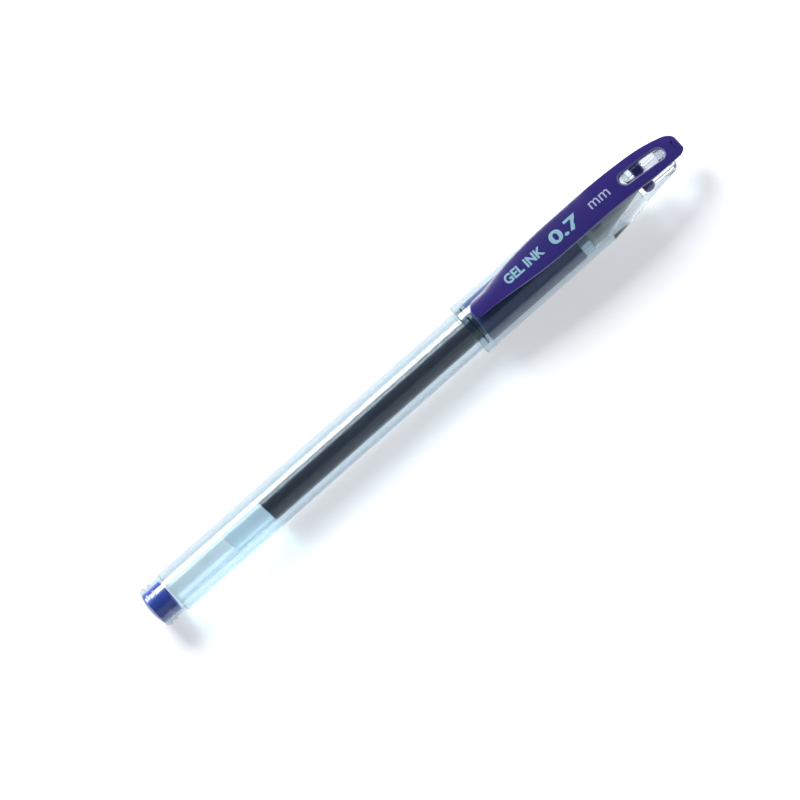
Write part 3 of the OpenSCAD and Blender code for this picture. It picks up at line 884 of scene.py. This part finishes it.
class PEN_OT_ink(bpy.types.Operator):
    """Gel ink and the grease that follows it down the tube"""
    bl_idname = "pen.ink"
    bl_label = "Ink and grease"

    def execute(self, context):
        sizes, colours, _ = settings()
        f = Finish("Gel_ink")
        drift = f.band(f.noise(0.12, 2.0, (0.5, 1.0, 1.0)), 0.3, 0.7)
        # Painted light: the ink is painted up to half again lighter from its tail end towards the grip
        along = f.band(f.along(), TAIL_X / MM + INK_S, TAIL_X / MM + GRIP_S)
        shade = f.tones(along, colours.ink, shaded(colours.ink, 1.5))
        shade = f.tones(drift, shaded(colours.ink, 0.85), shade)
        finish = f.done(f.solid(Base_Color=shade, Roughness=f.band(drift, 0.0, 1.0, 0.16, 0.24),
                                Normal=f.bump(f.noise(0.8, 2.0), 0.2, 0.01)))
        corners = [(INK_S, 0.0), (INK_S, INK_R, 0.05), (HOLDER_S, INK_R, 0.05), (HOLDER_S, CHANNEL_R - 0.02),
                   (INK_END_S, CHANNEL_R - 0.02, 0.05), (INK_END_S, 0.0)]
        ink = turned("ink_gel", corners, finish, closed=False)
        leaning(ink, sizes.meniscus_tilt, [(INK_S, 0.0)])
        stands_for(ink, "ink_column", "refill")

        f = Finish("Grease_clear")
        cloud = f.band(f.noise(0.5, 3.0), 0.35, 0.65)
        grease = f.solid(Base_Color=f.tones(cloud, shaded(colours.grease, 0.95), colours.grease),
                         Roughness=0.1, IOR=GREASE_IOR, Transmission_Weight=0.94)
        finish = f.clear(grease, GREASE_SHADE)
        r, end = TUBE_BORE - 0.02, GREASE_END_S - 0.06
        corners = [(GREASE_S, 0.0), (GREASE_S, r, 0.05), (end, r, 0.05), (end, 0.0)]
        plug = turned("grease_follower", corners, finish, closed=False)
        leaning(plug, sizes.meniscus_tilt, [(GREASE_S, GREASE_HOLLOW), (end, 0.0)])
        stands_for(plug, "ink_follower", "refill")
        return {"FINISHED"}


class PEN_OT_point(bpy.types.Operator):
    """Metal point, its ball and the fine spring behind the ball"""
    bl_idname = "pen.point"
    bl_label = "Point, ball and spring"

    def execute(self, context):
        sizes, colours, _ = settings()
        seat = []
        for k in range(10):
            s, r = polar(BALL_R + SOCKET_GAP, math.radians(SEAT_FROM + (SEAT_TO - SEAT_FROM) * k / 9))
            seat.append((BALL_S - s, r))
        lip_s = POINT_END_S
        inner = [(s, r) for s, r in seat if s < lip_s - 0.01]
        corners = [(POINT_S, CHAMBER_R, 0.03), (POINT_S, POINT_R, 0.06), (POINT_CONE_S, POINT_R, 0.12),
                   (lip_s - 0.2, LIP_R + 0.12, 0.1), (lip_s, LIP_R, 0.04), *reversed(inner),
                   (BALL_S - 2 * BALL_R - 0.3, THROAT_R, 0.05), (BALL_S - 2 * BALL_R - 0.6, CHAMBER_R, 0.05)]
        finish = turned_metal("Point_metal", colours.point, 0.24)
        stands_for(turned("metal_point", corners, finish), "point_body", "refill")

        steps = 24
        arc = [(BALL_S - BALL_R * math.cos(math.pi * k / steps), BALL_R * math.sin(math.pi * k / steps))
               for k in range(steps + 1)]
        finish = turned_metal("Ball_carbide", colours.ball, 0.12)
        stands_for(turned("carbide_ball", arc, finish, closed=False, sides=48), "writing_ball", "ball")

        finish = turned_metal("Spring_wire", colours.spring, 0.28)
        wire = sizes.spring_wire / MM
        coil_r = CHAMBER_R - wire - 0.05
        start, end = POINT_S + 4 * wire, BALL_S - BALL_R - SPRING_END_GAP
        coil_end = end - SPRING_PIN_LEN
        turns, parts = sizes.spring_turns, 20
        points = []
        for i in range(int((turns + 0.5) * parts) + 1):
            t = i / parts
            closing = max(0.0, t - turns) * 2
            points.append(at(start + (coil_end - start) * t / (turns + 0.5),
                             *polar(coil_r * (1 - closing), 2 * math.pi * t)))
        points.append(at(end, 0, 0))
        coil = run_tree(path_object("spring_wire", points), path_tree(), section_radius=wire * MM, sides=10,
                        material=finish)
        stands_for(coil, "ball_spring", "refill")
        return {"FINISHED"}


class PEN_OT_nose(bpy.types.Operator):
    """Clear screw-on nose: threaded spigot, collar, land and cone"""
    bl_idname = "pen.nose"
    bl_label = "Nose"

    def execute(self, context):
        _, colours, edge = settings()
        corners = [(THREAD_S, SPIGOT_BORE, 0.08), (THREAD_S, THREAD_ROOT_R, 0.1),
                   (NECK_END_S, THREAD_ROOT_R, 0.1), (NECK_END_S, COLLAR_R, 0.15),
                   (COLLAR_END_S, COLLAR_R, 0.2), (COLLAR_END_S, LAND_R, 0.15),
                   (LAND_END_S, LAND_R, 0.6), (NOSE_END_S, NOSE_MOUTH_R, 0.15),
                   (NOSE_END_S, POINT_R + 0.03, 0.05), (HOLDER_END_S + 0.05, POINT_R + 0.03),
                   (HOLDER_END_S + 0.05, HOLDER_FRONT_R + 0.03), (NOSE_SEAT_S, HOLDER_FRONT_R + 0.03),
                   (NOSE_SEAT_S, NOSE_STEP_R, 0.1), (COLLAR_END_S, NOSE_STEP_R, 0.1),
                   (COLLAR_END_S, SPIGOT_BORE, 0.1)]
        finish = clear_plastic("Clear_nose", colours.clear, colours.core, COLLAR_R - 0.1, 0.1)
        nose = turned("nose_clear", corners, finish)
        parts, run_out = 36, 6
        points = []
        for i in range(int(THREAD_TURNS * parts) + 1):
            rise = min(1.0, i / run_out, (THREAD_TURNS * parts - i) / run_out)
            radius = THREAD_ROOT_R - THREAD_SINK + rise * THREAD_SINK
            points.append(at(THREAD_S + THREAD_LEAD + THREAD_PITCH * i / parts,
                             *polar(radius, 2 * math.pi * i / parts)))
        ridge = run_tree(path_object("ridge", points), path_tree(), sides=12, material=finish,
                         section_radius=(THREAD_R - THREAD_ROOT_R) * MM)
        joined(nose, [ridge], "UNION")
        stands_for(nose, "nose_cone", "nose")
        return {"FINISHED"}


class PEN_OT_liner(bpy.types.Operator):
    """White inner cap with its fins, and the soft seal at its bottom"""
    bl_idname = "pen.liner"
    bl_label = "Inner cap and seal"

    def execute(self, context):
        _, colours, _ = settings()
        corners = [(SEAL_END_S, 0.0), (SEAL_END_S, SEAL_R), (SEAL_S - 0.1, SEAL_R),
                   (TAPER_S, LINER_BORE, 0.5), (LINER_S, LINER_BORE, 0.1), (LINER_S, LINER_R, 0.15),
                   (LINER_TAPER_S, LINER_R, 0.5),
                   (LINER_END_S, LINER_TIP_R, 0.4), (LINER_END_S, 0.0)]
        finish = moulded("Liner_cream", colours.liner, 0.42, 0.012, subsurface=0.2)
        liner = turned("cap_liner", corners, finish, closed=False)
        blank = bpy.data.objects.new("fins", bpy.data.meshes.new("fins"))
        context.scene.collection.objects.link(blank)
        low, high = LINER_R - 0.3, CAP_BORE - 0.05
        fins = run_tree(blank, ribs_tree(), count=FIN_COUNT, turn=math.radians(45), material=finish,
                        rib_size=Vector((FIN_LEN, FIN_T, high - low)) * MM, ring_radius=(low + high) / 2 * MM,
                        place=at(LINER_TAPER_S - FIN_LEN / 2, 0, 0))
        joined(liner, [fins], "UNION")
        stands_for(liner, "inner_cap", "cap")
        corners = [(SEAL_S, 0.0), (SEAL_S, SEAL_R, 0.15), (SEAL_END_S, SEAL_R, 0.1), (SEAL_END_S, 0.0)]
        finish = moulded("Seal_soft", colours.seal, 0.6, 0.02)
        stands_for(turned("soft_seal", corners, finish, closed=False), "tip_seal", "cap")
        return {"FINISHED"}


# ---- Clip and cap ----

BOW_LEVEL = 8
BOW_PULL_S = CLIP_END_S - 2.6
BOW_PULL_Z = 4.3
BOW_TOP = ((TAPER_S, CLIP_TOP_Z), (TAPER_S + BOW_LEVEL, CLIP_TOP_Z), (BOW_PULL_S, BOW_PULL_Z),
           (CLIP_END_S, HOOD_RIM_Z))
BOW_UNDER = ((TAPER_S, CLIP_UNDER_Z), (TAPER_S + BOW_LEVEL - CLIP_T / 2, CLIP_UNDER_Z),
             (BOW_PULL_S - CLIP_T, BOW_PULL_Z - CLIP_T * 0.7), (CLIP_END_S - CLIP_T, HOOD_RIM_Z))


def curve_at(controls, t):
    """Point on a cubic curve."""
    p = [Vector(c) for c in controls]
    return (1 - t) ** 3 * p[0] + 3 * (1 - t) ** 2 * t * p[1] + 3 * (1 - t) * t ** 2 * p[2] + t ** 3 * p[3]


def straight_levels(s):
    """Heights of the clip's face and underside along its straight stretch and the dip at its free end."""
    dip = (1 + math.cos(math.pi * min(1.0, max(0.0, (s - CLIP_S) / DIP_LEN)))) / 2
    return CLIP_TOP_Z - DIP * dip, CLIP_UNDER_Z - DIP_GAP * dip


def clip_half_width(s):
    """Half width of the clip beyond its round tongue."""
    widen_s, full_s = CLIP_S + TONGUE_LEN, CLIP_S + 2 * DIP_LEN
    if s < full_s:
        part = max(0.0, (s - widen_s) / (full_s - widen_s))
        return TONGUE_R + (CLIP_HALF_W - TONGUE_R) * math.sin(math.pi / 2 * part)
    if s < FOOT_S:
        return CLIP_HALF_W
    return CLIP_HALF_W - (CLIP_HALF_W - HOOD_HALF_W) * (
        1 - math.cos(math.pi / 2 * min(1.0, (s - FOOT_S) / (CLIP_END_S - FOOT_S))))


EDGE_STEPS = 10


def across_places(half_w, edge):
    """Offsets from the middle to one edge, close together in the rounding."""
    inner = [(half_w - edge) * k / 9 for k in range(10)]
    return inner + [half_w - edge * (1 - math.sqrt(math.sin(math.pi / 2 * k / EDGE_STEPS)))
                    for k in range(1, EDGE_STEPS + 1)]


def clip_body(name, material):
    """The clip without its window and foot: a fan at the tongue, rows across and a rounded rim."""
    sizes = bpy.context.scene.pen_sizes
    edge, crown = sizes.clip_edge / MM, sizes.clip_crown / MM
    rows = []
    centre_s = CLIP_S + TONGUE_R
    for k in range(31):
        s = centre_s + (TAPER_S - centre_s) * k / 30
        top, under = straight_levels(s)
        rows.append(((s, top), (s, under), clip_half_width(s)))
    bow = [(curve_at(BOW_TOP, k / 60), curve_at(BOW_UNDER, k / 60)) for k in range(61)]
    middles = [(top + under) / 2 for top, under in bow]
    left = [0.0]
    for a, b in zip(reversed(middles[1:]), reversed(middles[:-1])):
        left.insert(0, left[0] + (a - b).length)
    for k in range(1, 61):
        top, under = bow[k]
        near = min(1.0, left[k] / RIM_BEAD_LEN)
        out = (top - under).normalized() * RIM_BEAD * (0.5 + 0.5 * math.cos(math.pi * near))
        short = max(0.0, 1 - left[k] / HOOD_CORNER_R)
        corner = HOOD_CORNER_R * (1 - math.sqrt(1 - (short * (1 - HOOD_END_FLAT)) ** 2))
        rows.append((tuple(top + out), tuple(under), clip_half_width(middles[k].x) - corner))
    last_top, last_under, half_w = rows[-1]
    middle = ((last_top[0] + last_under[0]) / 2, (last_top[1] + last_under[1]) / 2)
    reach = (last_top[0] - last_under[0]) / 2
    for k in range(1, 8):
        a = math.pi / 2 * k / 7
        corner = 0.35 * (1 - math.sqrt(max(0.0, 1 - (k / 7) ** 2)))
        rows.append(((middle[0] + reach * math.cos(a), middle[1] - reach * math.sin(a)),
                     (middle[0] - reach * math.cos(a), middle[1] - reach * math.sin(a)), half_w - corner))
    points, index = [], {}

    def corner_point(key, s_top, z_top, s_under, z_under, y, half_w, from_edge, face):
        """One point of the face (1) or the underside (-1); the two meet along the edge."""
        near = min(1.0, from_edge / edge)
        thick = max(0.0, 1 - (1 - near) ** 4) ** 0.25
        where = (0 if thick < 1e-4 else face, key)
        if where not in index:
            drop = crown * (y / half_w) ** 2 if face > 0 and half_w else 0
            mid_s, mid_z = (s_top + s_under) / 2, (z_top + z_under) / 2
            index[where] = len(points)
            points.append(at(mid_s + face * thick * (s_top - s_under) / 2, y,
                             mid_z + face * thick * (z_top - z_under) / 2 - drop * thick))
        return index[where]

    def row_line(i, face):
        (s_top, z_top), (s_under, z_under), half_w = rows[i]
        places = across_places(half_w, edge)
        line = []
        for side in (1, -1):
            run = range(len(places) - 1, -1, -1) if side > 0 else range(1, len(places))
            for k in run:
                line.append(corner_point(("row", i, side * k), s_top, z_top, s_under, z_under,
                                         side * places[k], half_w, half_w - places[k], face))
        return line

    def fan_line(j, count, face):
        a = math.pi / 2 - math.pi * j / count
        places = across_places(TONGUE_R, edge)
        line = []
        for k in range(len(places) - 1, 0, -1):
            back, y = polar(places[k], a)
            s = centre_s - back
            top, under = straight_levels(s)
            line.append(corner_point(("fan", j, k), s, top, s, under, y, TONGUE_R,
                                     TONGUE_R - places[k], face))
        return line

    faces = []
    for face in (1, -1):
        lines = [row_line(i, face) for i in range(len(rows))]
        for a, b in zip(lines, lines[1:]):
            faces += [(a[k], a[k + 1], b[k + 1], b[k]) for k in range(len(a) - 1)]
        count = 24
        half = len(lines[0]) // 2
        spokes = [lines[0][:half]] + [fan_line(j, count, face) for j in range(1, count)]
        spokes.append(list(reversed(lines[0][half + 1:])))
        middle_point = lines[0][half]
        for a, b in zip(spokes, spokes[1:]):
            faces += [(a[k], a[k + 1], b[k + 1], b[k]) for k in range(len(a) - 1)]
            faces.append((a[-1], middle_point, b[-1]))
    end_top, end_under = row_line(len(rows) - 1, 1), row_line(len(rows) - 1, -1)
    faces += [(end_top[k], end_top[k + 1], end_under[k + 1], end_under[k]) for k in range(len(end_top) - 1)]
    faces = [tuple(dict.fromkeys(f)) for f in faces]
    faces = [f for f in faces if len(f) > 2]
    return from_faces(name, points, faces, material)


def foot_outline(grow=0.0):
    """Side outline of the foot, grown all round, and the half thickness of the cheek over it."""
    half_t = CHEEK_HALF_T + (0.15 if grow else 0.0)
    radius = FOOT_R + grow
    start = math.asin(half_t / radius)
    points = []
    for k in range(41):
        s, z = polar(radius, math.pi / 2 + start + (2 * math.pi - 2 * start) * k / 40)
        points.append((FOOT_S + s, FOOT_Z + z))
    return points, half_t


class PEN_OT_clip(bpy.types.Operator):
    """Violet-blue clip with its window, foot and hood, and the print on its face"""
    bl_idname = "pen.clip"
    bl_label = "Clip and print"

    def execute(self, context):
        sizes, colours, _ = settings()
        f = Finish("Clip_violet")
        drift = f.band(f.noise(0.08, 2.0, (0.4, 1.0, 1.0)), 0.3, 0.7)
        fine = f.noise(5.0, 2.0)
        violet = f.tones(drift, shaded(colours.clip, 0.85), shaded(colours.clip, 1.15))
        # Painted highlight: the clip is painted paler round its window, where its rounded edge would catch the
        # light
        violet = f.tones(self.rim(f), violet, colours.clip_rim_highlight)
        finish = f.done(f.solid(Base_Color=violet,
                                Roughness=f.band(fine, 0.3, 0.7, 0.13, 0.19), IOR=1.58,
                                Normal=f.bump(f.noise(0.5, 2.0, (0.3, 1.0, 1.0)), 0.3, 0.01)))
        body = clip_body("clip_bow", finish)
        cheek_top = (curve_at(BOW_TOP, 0.55).y + curve_at(BOW_UNDER, 0.55).y) / 2
        circle, half_t = foot_outline()
        outline = circle + [(FOOT_S + half_t, cheek_top), (FOOT_S - half_t, cheek_top)]
        foot = bevelled(prism("foot", outline, -FOOT_HALF_W, FOOT_HALF_W, finish), 0.12)
        joined(body, [foot], "UNION")
        level = self.bow_level(SLIT_S)
        slit = prism("slit", [(SLIT_S, -SLIT_LEN / 2), (SLIT_S + SLIT_W, -SLIT_LEN / 2),
                              (SLIT_S + SLIT_W, SLIT_LEN / 2), (SLIT_S, SLIT_LEN / 2)],
                     level - SLIT_DEPTH, level + 1, finish, True)
        joined(body, [self.window(sizes, finish), slit])
        stands_for(body, "clip", "clip")
        self.print_on(sizes, colours)
        return {"FINISHED"}

    @staticmethod
    def rim(f):
        """One along the edge of the window, where a highlight is painted, and nought elsewhere."""
        where = f.node("ShaderNodeSeparateXYZ", None, {"Vector": f.place()}, "X")
        y, level = where.other("Y"), where.other("Z") - AXIS_Z / MM
        half_run = (WINDOW_END_S - WINDOW_S) / 2 - WINDOW_HALF_W
        middle = (WINDOW_END_S + WINDOW_S) / 2 + TAIL_X / MM
        past = f.node("ShaderNodeMath", {"operation": "ABSOLUTE"}, {0: where - middle}) - half_run
        past = f.node("ShaderNodeMath", {"operation": "MAXIMUM"}, {0: past, 1: 0.0})
        gap = f.node("ShaderNodeMath", {"operation": "SQRT"}, {0: past * past + y * y})
        near = f.band(gap, WINDOW_HALF_W + RIM_HIGHLIGHT_WIDTH - 0.12, WINDOW_HALF_W + RIM_HIGHLIGHT_WIDTH, 1.0, 0.0)
        return near * f.band(level, BOSS_FLOOR, BOSS_FLOOR + 0.2)

    def window(self, sizes, finish):
        """The shape that opens the window, wider along the face by a chamfer."""
        chamfer = sizes.window_chamfer / MM
        inside = oval(WINDOW_S, WINDOW_END_S, WINDOW_HALF_W)
        outside = oval(WINDOW_S - chamfer, WINDOW_END_S + chamfer, WINDOW_HALF_W + chamfer)
        rings = [[(s, y, BOSS_FLOOR) for s, y in inside],
                 [(s, y, self.bow_level(s) - chamfer) for s, y in inside],
                 [(s, y, self.bow_level(s) + 0.02) for s, y in outside],
                 [(s, y, CLIP_TOP_Z + 1) for s, y in outside]]
        count = len(inside)
        points = [at(*place) for ring in rings for place in ring]
        faces = [tuple(reversed(range(count))), tuple(range(3 * count, 4 * count))]
        for i in range(3):
            for k in range(count):
                n = (k + 1) % count
                faces.append((i * count + k, i * count + n, (i + 1) * count + n, (i + 1) * count + k))
        return from_faces("window", points, faces, finish)

    def print_on(self, sizes, colours):
        """Thin raised print that follows the clip's face."""
        f = Finish("Print_blue")
        worn = f.band(f.noise(3.0, 3.0), 0.35, 0.65)
        blue = f.done(f.solid(Base_Color=f.tones(worn, shaded(colours.print_ink, 0.9), colours.print_ink),
                              Roughness=0.4, Normal=f.bump(f.noise(8.0, 2.0), 0.3, 0.004)))
        f = Finish("Print_pale")
        worn = f.band(f.noise(3.0, 3.0), 0.35, 0.65)
        pale = f.done(f.solid(Base_Color=f.tones(worn, shaded(colours.print_thin, 0.9), colours.print_thin),
                              Roughness=0.4, Normal=f.bump(f.noise(8.0, 2.0), 0.3, 0.004)))
        lift = sizes.print_lift / MM
        for name, body, start, end, height, weight, material in (
                ("print_words", sizes.print_text, *WORDS_PLACE, blue),
                ("print_size", sizes.print_size, *SIZE_PLACE, blue),
                ("print_unit", sizes.print_unit, *UNIT_PLACE, pale)):
            curve = bpy.data.curves.new(name, "FONT")
            curve.body = body
            curve.align_x, curve.align_y = "LEFT", "CENTER"
            curve.offset = weight
            curve.extrude = 0.5
            curve.resolution_u = 6
            words = bpy.data.objects.new(name, curve)
            bpy.context.scene.collection.objects.link(words)
            baked_words = worked_out(words)
            bpy.data.objects.remove(words)
            xs = [v.co.x for v in baked_words.vertices]
            ys = [v.co.y for v in baked_words.vertices]
            for v in baked_words.vertices:
                s = start + (end - start) * (v.co.x - min(xs)) / (max(xs) - min(xs))
                y = height * ((v.co.y - min(ys)) / (max(ys) - min(ys)) - 0.5)
                level = straight_levels(s)[0] if s < TAPER_S else self.bow_level(s)
                level -= sizes.clip_crown / MM * (y / CLIP_HALF_W) ** 2
                v.co = at(s, y, level + (lift if v.co.z > 0 else -0.06))
            finish_mesh(baked_words)
            print_obj = link(name, baked_words, material)
            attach(print_obj, "clip")

    @staticmethod
    def bow_level(s):
        """Height of the clip's face over its bow at a station."""
        low, high = 0.0, 1.0
        for _ in range(30):
            t = (low + high) / 2
            low, high = (t, high) if curve_at(BOW_TOP, t).x < s else (low, t)
        return curve_at(BOW_TOP, low).y


class PEN_OT_cap(bpy.types.Operator):
    """Clear cap with its mouth ring, end block, clip seat, foot slot, boss and air vents"""
    bl_idname = "pen.cap"
    bl_label = "Cap"

    def execute(self, context):
        _, colours, edge = settings()
        corners = [(BLIND_S, 0.0), (BLIND_S, BORE_END_R, 0.15), (BORE_STEP_S, BORE_STEP_R, 1.0),
                   (TAPER_S, CAP_BORE, 0.5), (MOUTH_S, CAP_BORE, 0.15), (MOUTH_S, RING_R, 0.28),
                   (RING_END_S, RING_R, 0.1), (RING_END_S, CAP_R, 0.05), (TAPER_S, CAP_R, 3.0),
                   (CAP_END_S, CAP_TIP_R, 1.9), (CAP_END_S, 0.0)]
        finish = clear_plastic("Clear_cap", colours.clear, colours.cap_core, CAP_BORE + 0.4, 0.2)
        cap = turned("cap_clear", corners, finish, closed=False, longest=2.0)
        steps = 40
        under = [curve_at(BOW_UNDER, k / steps) for k in range(steps + 1)]
        seat = [(p.x, p.y - SEAT_GAP - max(0.0, p.x - FOOT_S) * math.tan(math.radians(LIFT))) for p in under]
        seat = prism("seat", seat + [(CLIP_END_S, CAP_R + 1), (TAPER_S, CAP_R + 1)],
                     -CAP_R - 1, CAP_R + 1, finish)
        rock = (CLIP_TOP_Z - FOOT_Z) * math.tan(math.radians(LIFT))
        circle, half_t = foot_outline(-FOOT_PRESS)
        slot = circle + [(FOOT_S + half_t, FOOT_Z + 1.2), (FOOT_S + half_t + rock, FOOT_Z + 1.4),
                         (FOOT_S + half_t + rock, CAP_R + 1), (FOOT_S - half_t, CAP_R + 1)]
        slot_w = FOOT_HALF_W - FOOT_PRESS
        slot = prism("slot", slot, -slot_w, slot_w, finish)
        boss_top = [curve_at(BOW_TOP, k / steps) for k in range(steps + 1)]
        face = [(p.x, p.y - 0.05) for p in boss_top]
        boss = prism("boss", oval(WINDOW_S + 0.7, WINDOW_END_S - 0.3, WINDOW_HALF_W - 0.15), 2.84, CLIP_TOP_Z,
                     finish, True)
        keep = prism("keep", face + [(CLIP_END_S, -1.0), (TAPER_S, -1.0)], -2, 2, finish)
        joined(boss, [keep], "INTERSECT")
        bevelled(boss, 0.12)
        vents = []
        for side in (-1, 1):
            vent = prism("vent", [polar(VENT_R, 2 * math.pi * k / 32) for k in range(32)],
                         BLIND_S - 0.5, CAP_END_S + 0.5, finish)
            for v in vent.data.vertices:
                a, b = (v.co.x - TAIL_X) / MM, (v.co.z - AXIS_Z) / MM
                down, out = polar(VENT_OUT, math.radians(VENT_ANGLE))
                v.co = at(v.co.y / MM, side * out + a, b - down)
            finish_mesh(vent.data)
            vents.append(vent)
        joined(cap, [seat, slot, *vents])
        joined(cap, [boss], "UNION")
        stands_for(cap, "cap_shell", "cap")
        return {"FINISHED"}


# ---- Stage ----

KEY_PLACE, KEY_SIZE, KEY_TINT = (-0.06, 0.566, 0.572), (0.34, 0.36), (1.0, 1.0, 1.0)
FILL_PLACE, FILL_SIZE, FILL_TINT = (0.0, -0.72, 0.46), (1.5, 0.5), (0.93, 0.97, 1.0)
AIM_LEFT, AIM_DOWN = 3.2 * MM, 4.65 * MM
# The sky's colour by height, from the horizon up
SKY = ((0.0, (0.80, 0.81, 0.83)), (0.05, (0.55, 0.58, 0.62)), (0.12, (0.10, 0.14, 0.19)),
       (1.0, (0.04, 0.05, 0.08)))


def area_light(name, place, target, size, power, tint):
    """A soft light, aimed at a point."""
    lamp = bpy.data.lights.new(name, "AREA")
    lamp.shape = "RECTANGLE"
    lamp.size, lamp.size_y = size
    lamp.energy = power
    lamp.color = tint
    obj = bpy.data.objects.new(name, lamp)
    obj.location = place
    obj.rotation_euler = (Vector(target) - Vector(place)).to_track_quat("-Z", "Y").to_euler()
    bpy.context.scene.collection.objects.link(obj)


class PEN_OT_stage(bpy.types.Operator):
    """Pale floor, soft light and the camera"""
    bl_idname = "pen.stage"
    bl_label = "Floor, light and camera"

    def execute(self, context):
        scene = context.scene
        stage = scene.pen_stage
        half = stage.floor_size / 2
        f = Finish("Floor_pale")
        cloud = f.noise(0.004, 2.0)
        pale = f.tones(cloud, shaded(stage.floor, 0.99), stage.floor)
        finish = f.done(f.solid(Base_Color=pale, Roughness=0.9, Emission_Color=stage.floor,
                                Emission_Strength=stage.glow))
        floor = from_faces("floor", [(-half, -half, 0), (half, -half, 0), (half, half, 0), (-half, half, 0)],
                           [(0, 1, 2, 3)], finish)
        if floor.data.polygons[0].normal.z < 0:
            floor.data.flip_normals()

        world = bpy.data.worlds.new("Studio")
        world.use_nodes = True
        scene.world = world
        graph = Graph(world.node_tree)
        where = graph.node("ShaderNodeTexCoord", output="Generated")
        height = graph.node("ShaderNodeSeparateXYZ", None, {"Vector": where}, "Z")
        sky = graph.node("ShaderNodeValToRGB", {"stops": SKY}, {"Fac": height})
        sky = graph.node("ShaderNodeBackground", None, {"Color": sky, "Strength": stage.sky})
        graph.node("ShaderNodeOutputWorld", None, {"Surface": sky})

        middle = Vector(((CAD_BOX[0].x + CAD_BOX[1].x) / 2, 0, AXIS_Z))
        area_light("key", KEY_PLACE, middle, KEY_SIZE, stage.key_power, KEY_TINT)
        area_light("fill", FILL_PLACE, middle, FILL_SIZE, stage.fill_power, FILL_TINT)

        lean, roll = stage.lean, stage.roll
        to_camera = Vector((0, -math.sin(lean), math.cos(lean)))
        up0 = Vector((0, math.cos(lean), math.sin(lean)))
        right = math.cos(roll) * Vector((1, 0, 0)) - math.sin(roll) * up0
        up = math.sin(roll) * Vector((1, 0, 0)) + math.cos(roll) * up0
        aim = middle - right * AIM_LEFT - up * AIM_DOWN
        camera_data = bpy.data.cameras.new("camera")
        camera_data.sensor_width = 36.0
        camera_data.lens = 36.0 * stage.distance / stage.view_width
        camera_data.clip_start, camera_data.clip_end = 0.05, 20.0
        camera = bpy.data.objects.new("camera", camera_data)
        camera.matrix_world = Matrix.Translation(aim + to_camera * stage.distance) @ Matrix(
            (right, up, to_camera)).transposed().to_4x4()
        scene.collection.objects.link(camera)
        scene.camera = camera

        scene.view_settings.view_transform = "Standard"
        scene.view_settings.look = "None"
        cycles = scene.cycles
        cycles.max_bounces = 24
        cycles.transmission_bounces = 24
        cycles.transparent_max_bounces = 32
        cycles.glossy_bounces = 8
        cycles.diffuse_bounces = 4
        cycles.caustics_reflective = False
        cycles.caustics_refractive = True
        cycles.sample_clamp_indirect = 4.0
        return {"FINISHED"}


class PEN_PT_panel(bpy.types.Panel):
    """The pen's pieces, settings and stage"""
    bl_label = "Gel Pen"
    bl_idname = "PEN_PT_panel"
    bl_space_type = "VIEW_3D"
    bl_region_type = "UI"
    bl_category = "Gel Pen"

    def draw(self, context):
        layout = self.layout
        for title, group in (("Sizes", context.scene.pen_sizes), ("Colours", context.scene.pen_colours),
                             ("Stage", context.scene.pen_stage)):
            box = layout.box()
            box.label(text=title)
            for name in group.bl_rna.properties.keys():
                if name not in ("rna_type", "name"):
                    box.prop(group, name)
        box = layout.box()
        box.label(text="Pieces")
        for operator in OPERATORS:
            box.operator(operator.bl_idname)


GROUPS = (PenSizes, PenColours, PenStage)
OPERATORS = (PEN_OT_stage, PEN_OT_barrel, PEN_OT_tail_plug, PEN_OT_grip, PEN_OT_refill, PEN_OT_ink,
             PEN_OT_point, PEN_OT_nose, PEN_OT_liner, PEN_OT_cap, PEN_OT_clip)


def register():
    for made in (*GROUPS, *OPERATORS, PEN_PT_panel):
        bpy.utils.register_class(made)
    bpy.types.Scene.pen_sizes = PointerProperty(type=PenSizes)
    bpy.types.Scene.pen_colours = PointerProperty(type=PenColours)
    bpy.types.Scene.pen_stage = PointerProperty(type=PenStage)


def unregister():
    del bpy.types.Scene.pen_stage
    del bpy.types.Scene.pen_colours
    del bpy.types.Scene.pen_sizes
    for made in reversed((*GROUPS, *OPERATORS, PEN_PT_panel)):
        bpy.utils.unregister_class(made)


def main():
    """Builds the stage and every piece."""
    register()
    for operator in OPERATORS:
        group, name = operator.bl_idname.split(".")
        getattr(getattr(bpy.ops, group), name)()


if __name__ == "__main__":
    main()
